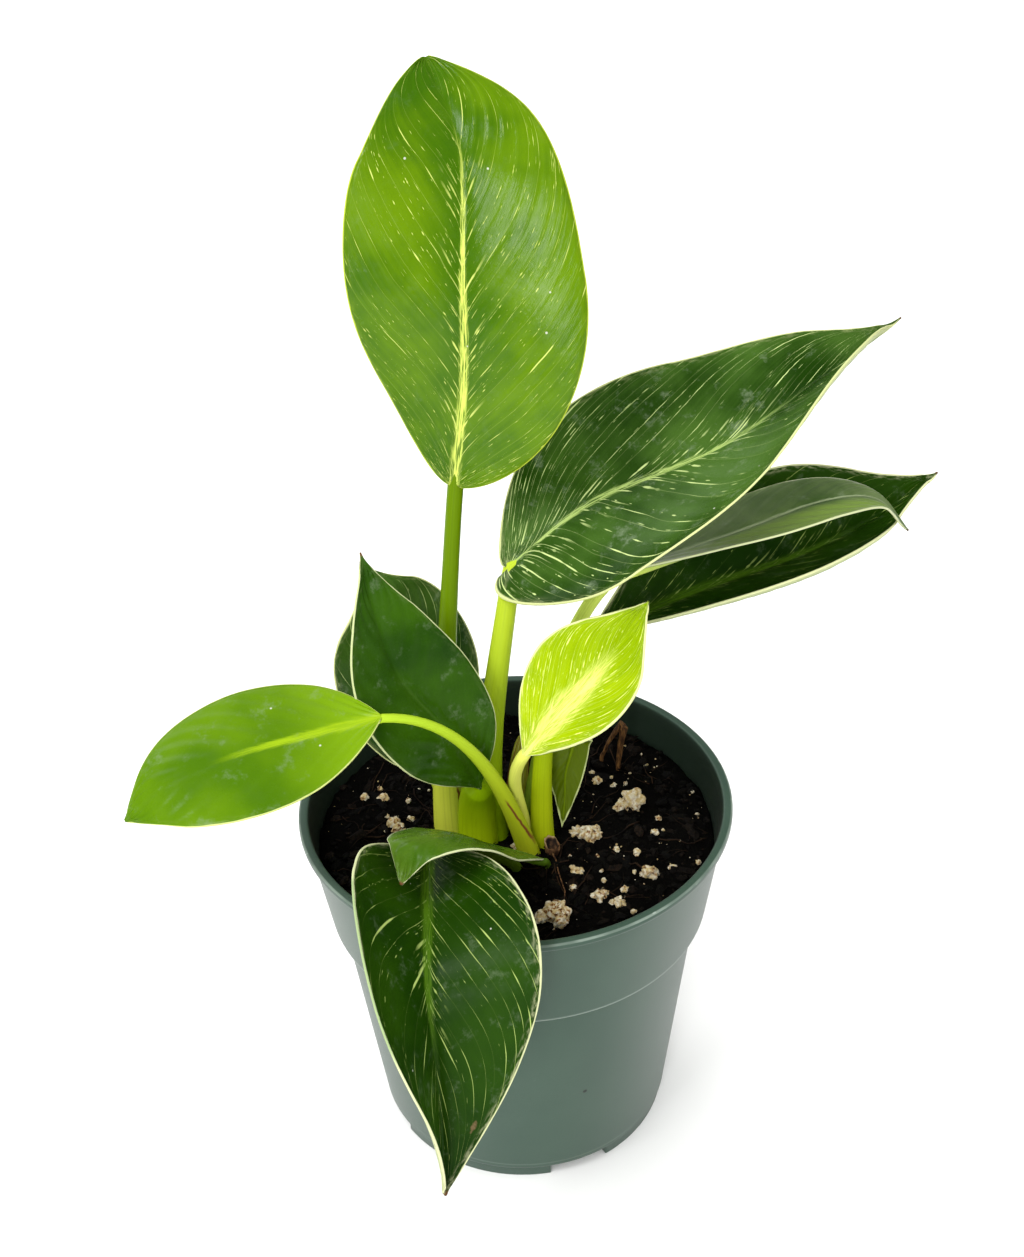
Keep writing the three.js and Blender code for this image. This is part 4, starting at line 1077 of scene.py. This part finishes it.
def stalk_finish(name, seam, rib_colour, foot_colour, top_colour, turned=0.5, lit_colour=None):
    finish = Finish(name, Roughness=0.38, Specular_IOR_Level=0.06)
    along, right, back = finish.values("run")
    ribs = finish.grain(finish.join(4 * along, 7 * right, 7 * back), detail=3)
    spot = finish.place()
    green = along.rise(0.05, turned).blend(foot_colour, top_colour)
    if lit_colour:
        green = along.rise(0.34, 0.42).blend(green, lit_colour)
    green = along.rise(0.51, 0.62).blend(green, rib_colour)
    green = (0.22 * ribs.rise(0.45, 0.75)).blend(green, darker(top_colour, 0.55))
    freckles = finish.grain(spot, scale=1.4, detail=4, roughness=0.7).rise(0.66, 0.74)
    green = (0.8 * freckles * along.rise(0.3, 0.05)).blend(green, SEAM_BROWN)
    if seam:
        (x_high, z_high), (x_low, z_low) = seam
        x, _, z = finish.split(spot)
        lean = (x_high - x_low) / (z_high - z_low) * (z - z_low)
        wobble = 1.6 * finish.grain(finish.join(0, 0, z), scale=0.2, detail=3)
        apart = abs(x + wobble - (lean + (x_low + 0.8)))
        torn = apart.rise(0.42, 0.12) * z.rise(z_low - 4, z_low + 2) * z.rise(z_high + 1, z_high - 2)
        green = torn.blend(green, SEAM_BROWN)
    finish.set(Base_Color=green)
    finish.bump(ribs, depth=0.05)
    return finish


def thicken(piece, thickness):
    """Gives a sheet its thickness, half of it to each side."""
    skin = piece.modifiers.new("thickness", "SOLIDIFY")
    skin.thickness = thickness * MM
    skin.offset = 0
    return skin


STALK_STEPS = 28
STALK_TUCK = 0.8
RIB_STEPS = 26
RIB_REACH = 0.93
RIB_END_RADIUS = 0.12

for number, (name, leaf) in enumerate(LEAVES.items()):
    look = PLAIN_LOOK | LOOKS[leaf["look"]]
    bm = bmesh.new()
    grow_blade(bm, leaf)
    upper = BladeFinish("blade_" + name, leaf, look, 10 * number)
    upper.paint_upper()
    under = BladeFinish("blade_under_" + name, leaf, look, 10 * number)
    under.paint_under()
    blade = piece_from(bm, "blade_" + name, [upper, under])
    thicken(blade, BLADE_THICKNESS).material_offset = 1
    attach(blade, "root")
    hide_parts("leaf_" + name)

    top_radius = leaf["top_radius"]
    low, bend, high = [Vector(p) for p in leaf["stalk"]]
    path = interpolate_bezier(low, bend, high, Vector(leaf["midrib"][0]), STALK_STEPS)
    shares = [i / (STALK_STEPS - 1) for i in range(STALK_STEPS)]
    tuck = -STALK_TUCK * top_radius * blade_frame(leaf, 0)[3]
    path = [point + tuck * share ** 12 for point, share in zip(path, shares)]
    flare = leaf.get("flare", FLARE_POWER)
    radii = [mix((top_radius, leaf["foot_radius"]), (1 - share) ** flare) for share in shares]
    for i in range(1, RIB_STEPS + 1):
        u = RIB_REACH * i / RIB_STEPS
        radius = RIB_END_RADIUS + 0.8 * (min(2, top_radius) - RIB_END_RADIUS) * (1 - u) ** 1.5
        point, _, _, face = blade_frame(leaf, u)
        path.append(point - face * (0.9 * radius + RIB_GROOVE))
        radii.append(radius)
    bm = bmesh.new()
    grow_tube(bm, path, radii, sides=16)
    rib_colour = [1.3 * part for part in look["under"]]
    finish = stalk_finish("stalk_" + name, leaf.get("seam"), rib_colour, *leaf["stalk_colours"])
    stalk = piece_from(bm, "stalk_" + name, finish)
    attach(stalk, "root")
    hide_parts("petiole_" + name)


# ------------------------------------------------------------------ dry_sheath
# The papery sheath that once wrapped a young leaf: a thin olive blade, hollow towards the front, with
# brown and cream streaks, which tapers to a point between the stalks.
SHEATH_LINE = [Vector(p) for p in ((-1, -1, 84), (0, 0.5, 100), (1.5, 2, 111), (2.6, 4.2, 118.5))]
SHEATH_HALF = 4
SHEATH_THICKNESS = 0.35
SHEATH_BROWN = (0.13, 0.055, 0.012)
SHEATH_OLIVE = (0.22, 0.225, 0.016)
SHEATH_CREAM = (0.50, 0.46, 0.18)
bm = bmesh.new()
run = bm.verts.layers.float_vector.new("run")
bmesh.ops.create_grid(bm, x_segments=12, y_segments=30, size=1)
for vert in bm.verts:
    share, across = 0.5 * (vert.co.y + 1), vert.co.x
    vert[run] = (share, across, 0)
    place = interpolate_bezier(*SHEATH_LINE, 101)[round(100 * share)]
    half = SHEATH_HALF * (0.7 + 0.5 * share) * (1 - share) ** 0.45
    hollow = 0.35 * half * across ** 2 + 0.25 * noise.noise(Vector((2 * across, 9 * share, 4)))
    vert.co = place + Vector((half * across, -hollow, 0.3 * half * across ** 2))
sheath_finish = Finish("papery_sheath", Roughness=0.6, Specular_IOR_Level=0.2)
share, across, _ = sheath_finish.values("run")
fibres = sheath_finish.grain(sheath_finish.join(2.5 * share, 6 * across), detail=4)
papery = fibres.rise(0.40, 0.5).blend(SHEATH_BROWN, SHEATH_OLIVE)
sheath_finish.set(Base_Color=fibres.rise(0.6, 0.68).blend(papery, SHEATH_CREAM))
sheath_finish.bump(fibres, depth=0.25)
sheath = piece_from(bm, "papery_sheath", sheath_finish)
thicken(sheath, SHEATH_THICKNESS)
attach(sheath, "root")
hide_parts("dry_sheath")


# ------------------------------------------------------------------ cut_stalk
# The stub of a leaf stalk that was cut off low down: brown and shrunken, hollow at the cut, with a
# pale papery rim. A thin root runs from its foot over the soil.
STUB_FOOT = Vector((8.6, -10.2, 84))
STUB_TOP = 94.2
STUB_LEAN = 0.06
STUB_SLANT = 0.45
STUB_NECK = 90
STUB_STEPS = 40
STUB_BROWN = (0.045, 0.020, 0.009)
STUB_PALE = (0.17, 0.085, 0.035)
STUB_HOLLOW = (0.012, 0.007, 0.005)
STUB_RIM = (0.30, 0.21, 0.10)
ROOT_LINE = [(8.8, -12, 92.6), (10, -15.2, 92), (10.4, -20, 92.4), (11.2, -24, 91.8),
             (11.8, -27.5, 92.2), (11.4, -31, 92)]
ROOT_RADII = (0.32, 0.2, 0.16, 0.14, 0.12, 0.08)
bm = bmesh.new()
spin_outline(bm, [(0, STUB_FOOT.z), (1.8, STUB_FOOT.z), (1.7, STUB_NECK),
                  (1.9, STUB_TOP - 1.5), (2.1, STUB_TOP - 0.2), (1.95, STUB_TOP),
                  (1.7, STUB_TOP - 0.3), (1.35, STUB_TOP - 1.2), (0.7, STUB_TOP - 1.5),
                  (0, STUB_TOP - 1.2)], STUB_STEPS)
bmesh.ops.remove_doubles(bm, verts=bm.verts, dist=0.01)
for vert in bm.verts:
    x, y, z = vert.co
    swing = 1 + 0.16 * noise.noise(Vector((x, y, 0.25 * z)))
    lean = STUB_LEAN * (z - STUB_FOOT.z)
    vert.co = Vector((swing * x + STUB_FOOT.x + lean, swing * y + STUB_FOOT.y - lean, z))
    vert.co.z += 0.9 * noise.noise(vert.co / 1.1)
    if vert.co.z > STUB_NECK:
        x, y, _ = vert.co - STUB_FOOT
        vert.co.z -= STUB_SLANT * (x - y - 2 * lean)
bmesh.ops.recalc_face_normals(bm, faces=bm.faces)
grow_tube(bm, [Vector(p) for p in ROOT_LINE], ROOT_RADII, sides=8)
stub_finish = Finish("cut_stub", Roughness=0.8, Specular_IOR_Level=0.15)
x, y, z = stub_finish.split(stub_finish.place())
lean = STUB_LEAN * (STUB_TOP - STUB_FOOT.z)
x, y = x - (STUB_FOOT.x + lean), y - (STUB_FOOT.y - lean)
z = z + STUB_SLANT * x - STUB_SLANT * y
from_middle = (x * x + y * y).math("SQRT")
fibres = stub_finish.grain(stub_finish.place((1, 1, 0.2)), scale=1.2, detail=4)
bark = fibres.rise(0.4, 0.65).blend(STUB_BROWN, STUB_PALE)
hollow = z.rise(STUB_TOP - 2.2, STUB_TOP - 1.2) * from_middle.rise(1.8, 1.5)
bark = hollow.blend(bark, STUB_HOLLOW)
pale = from_middle.rise(1.6, 1.85) * z.rise(STUB_TOP - 0.9, STUB_TOP - 0.4) * (x - y).rise(1, -1)
stub_finish.set(Base_Color=pale.blend(bark, STUB_RIM))
stub_finish.bump(fibres, depth=0.3)
stub = piece_from(bm, "cut_stub", stub_finish)
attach(stub, "root")
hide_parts("cut_stalk")


# ------------------------------------------------------------------ bark_curl
# A strip of dry bark that is bent over double and stands in the soil on both its ends.
CURL_LINE = [(29, 24, 86), (29, 24.6, 92), (29.4, 25, 98.2), (30.5, 25.2, 103.4), (29.8, 25.6, 105),
             (28.4, 25.6, 102.8), (26.1, 25.4, 98.4), (24.4, 25.2, 94.4), (23.8, 25, 88)]
CURL_RADII = (1.1, 1.0, 1.1, 1.7, 1.9, 1.5, 1.0, 0.9, 0.9)
CURL_BROWN = (0.030, 0.012, 0.004)
CURL_PALE = (0.150, 0.070, 0.020)
CURL_FRAYED = (0.42, 0.30, 0.17)
CURL_SEED = 3
bm = bmesh.new()
grow_tube(bm, [Vector(p) for p in CURL_LINE], CURL_RADII, sides=12, flatness=0.5)
bmesh.ops.subdivide_edges(bm, edges=bm.edges, cuts=1, use_grid_fill=True)
noise.seed_set(CURL_SEED)
for vert in bm.verts:
    vert.co += 0.45 * noise.noise_vector(vert.co / 1.4)
curl_finish = Finish("bark_strip", Roughness=0.85, Specular_IOR_Level=0.15)
fibres = curl_finish.grain(curl_finish.place((1, 1, 0.25)), scale=1.1, detail=5, roughness=0.65)
bark = fibres.rise(0.38, 0.66).blend(CURL_BROWN, CURL_PALE)
curl_finish.set(Base_Color=fibres.rise(0.68, 0.76).blend(bark, CURL_FRAYED))
curl_finish.bump(fibres, depth=0.4)
curl = piece_from(bm, "bark_strip", curl_finish)
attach(curl, "root")
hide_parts("bark_curl")
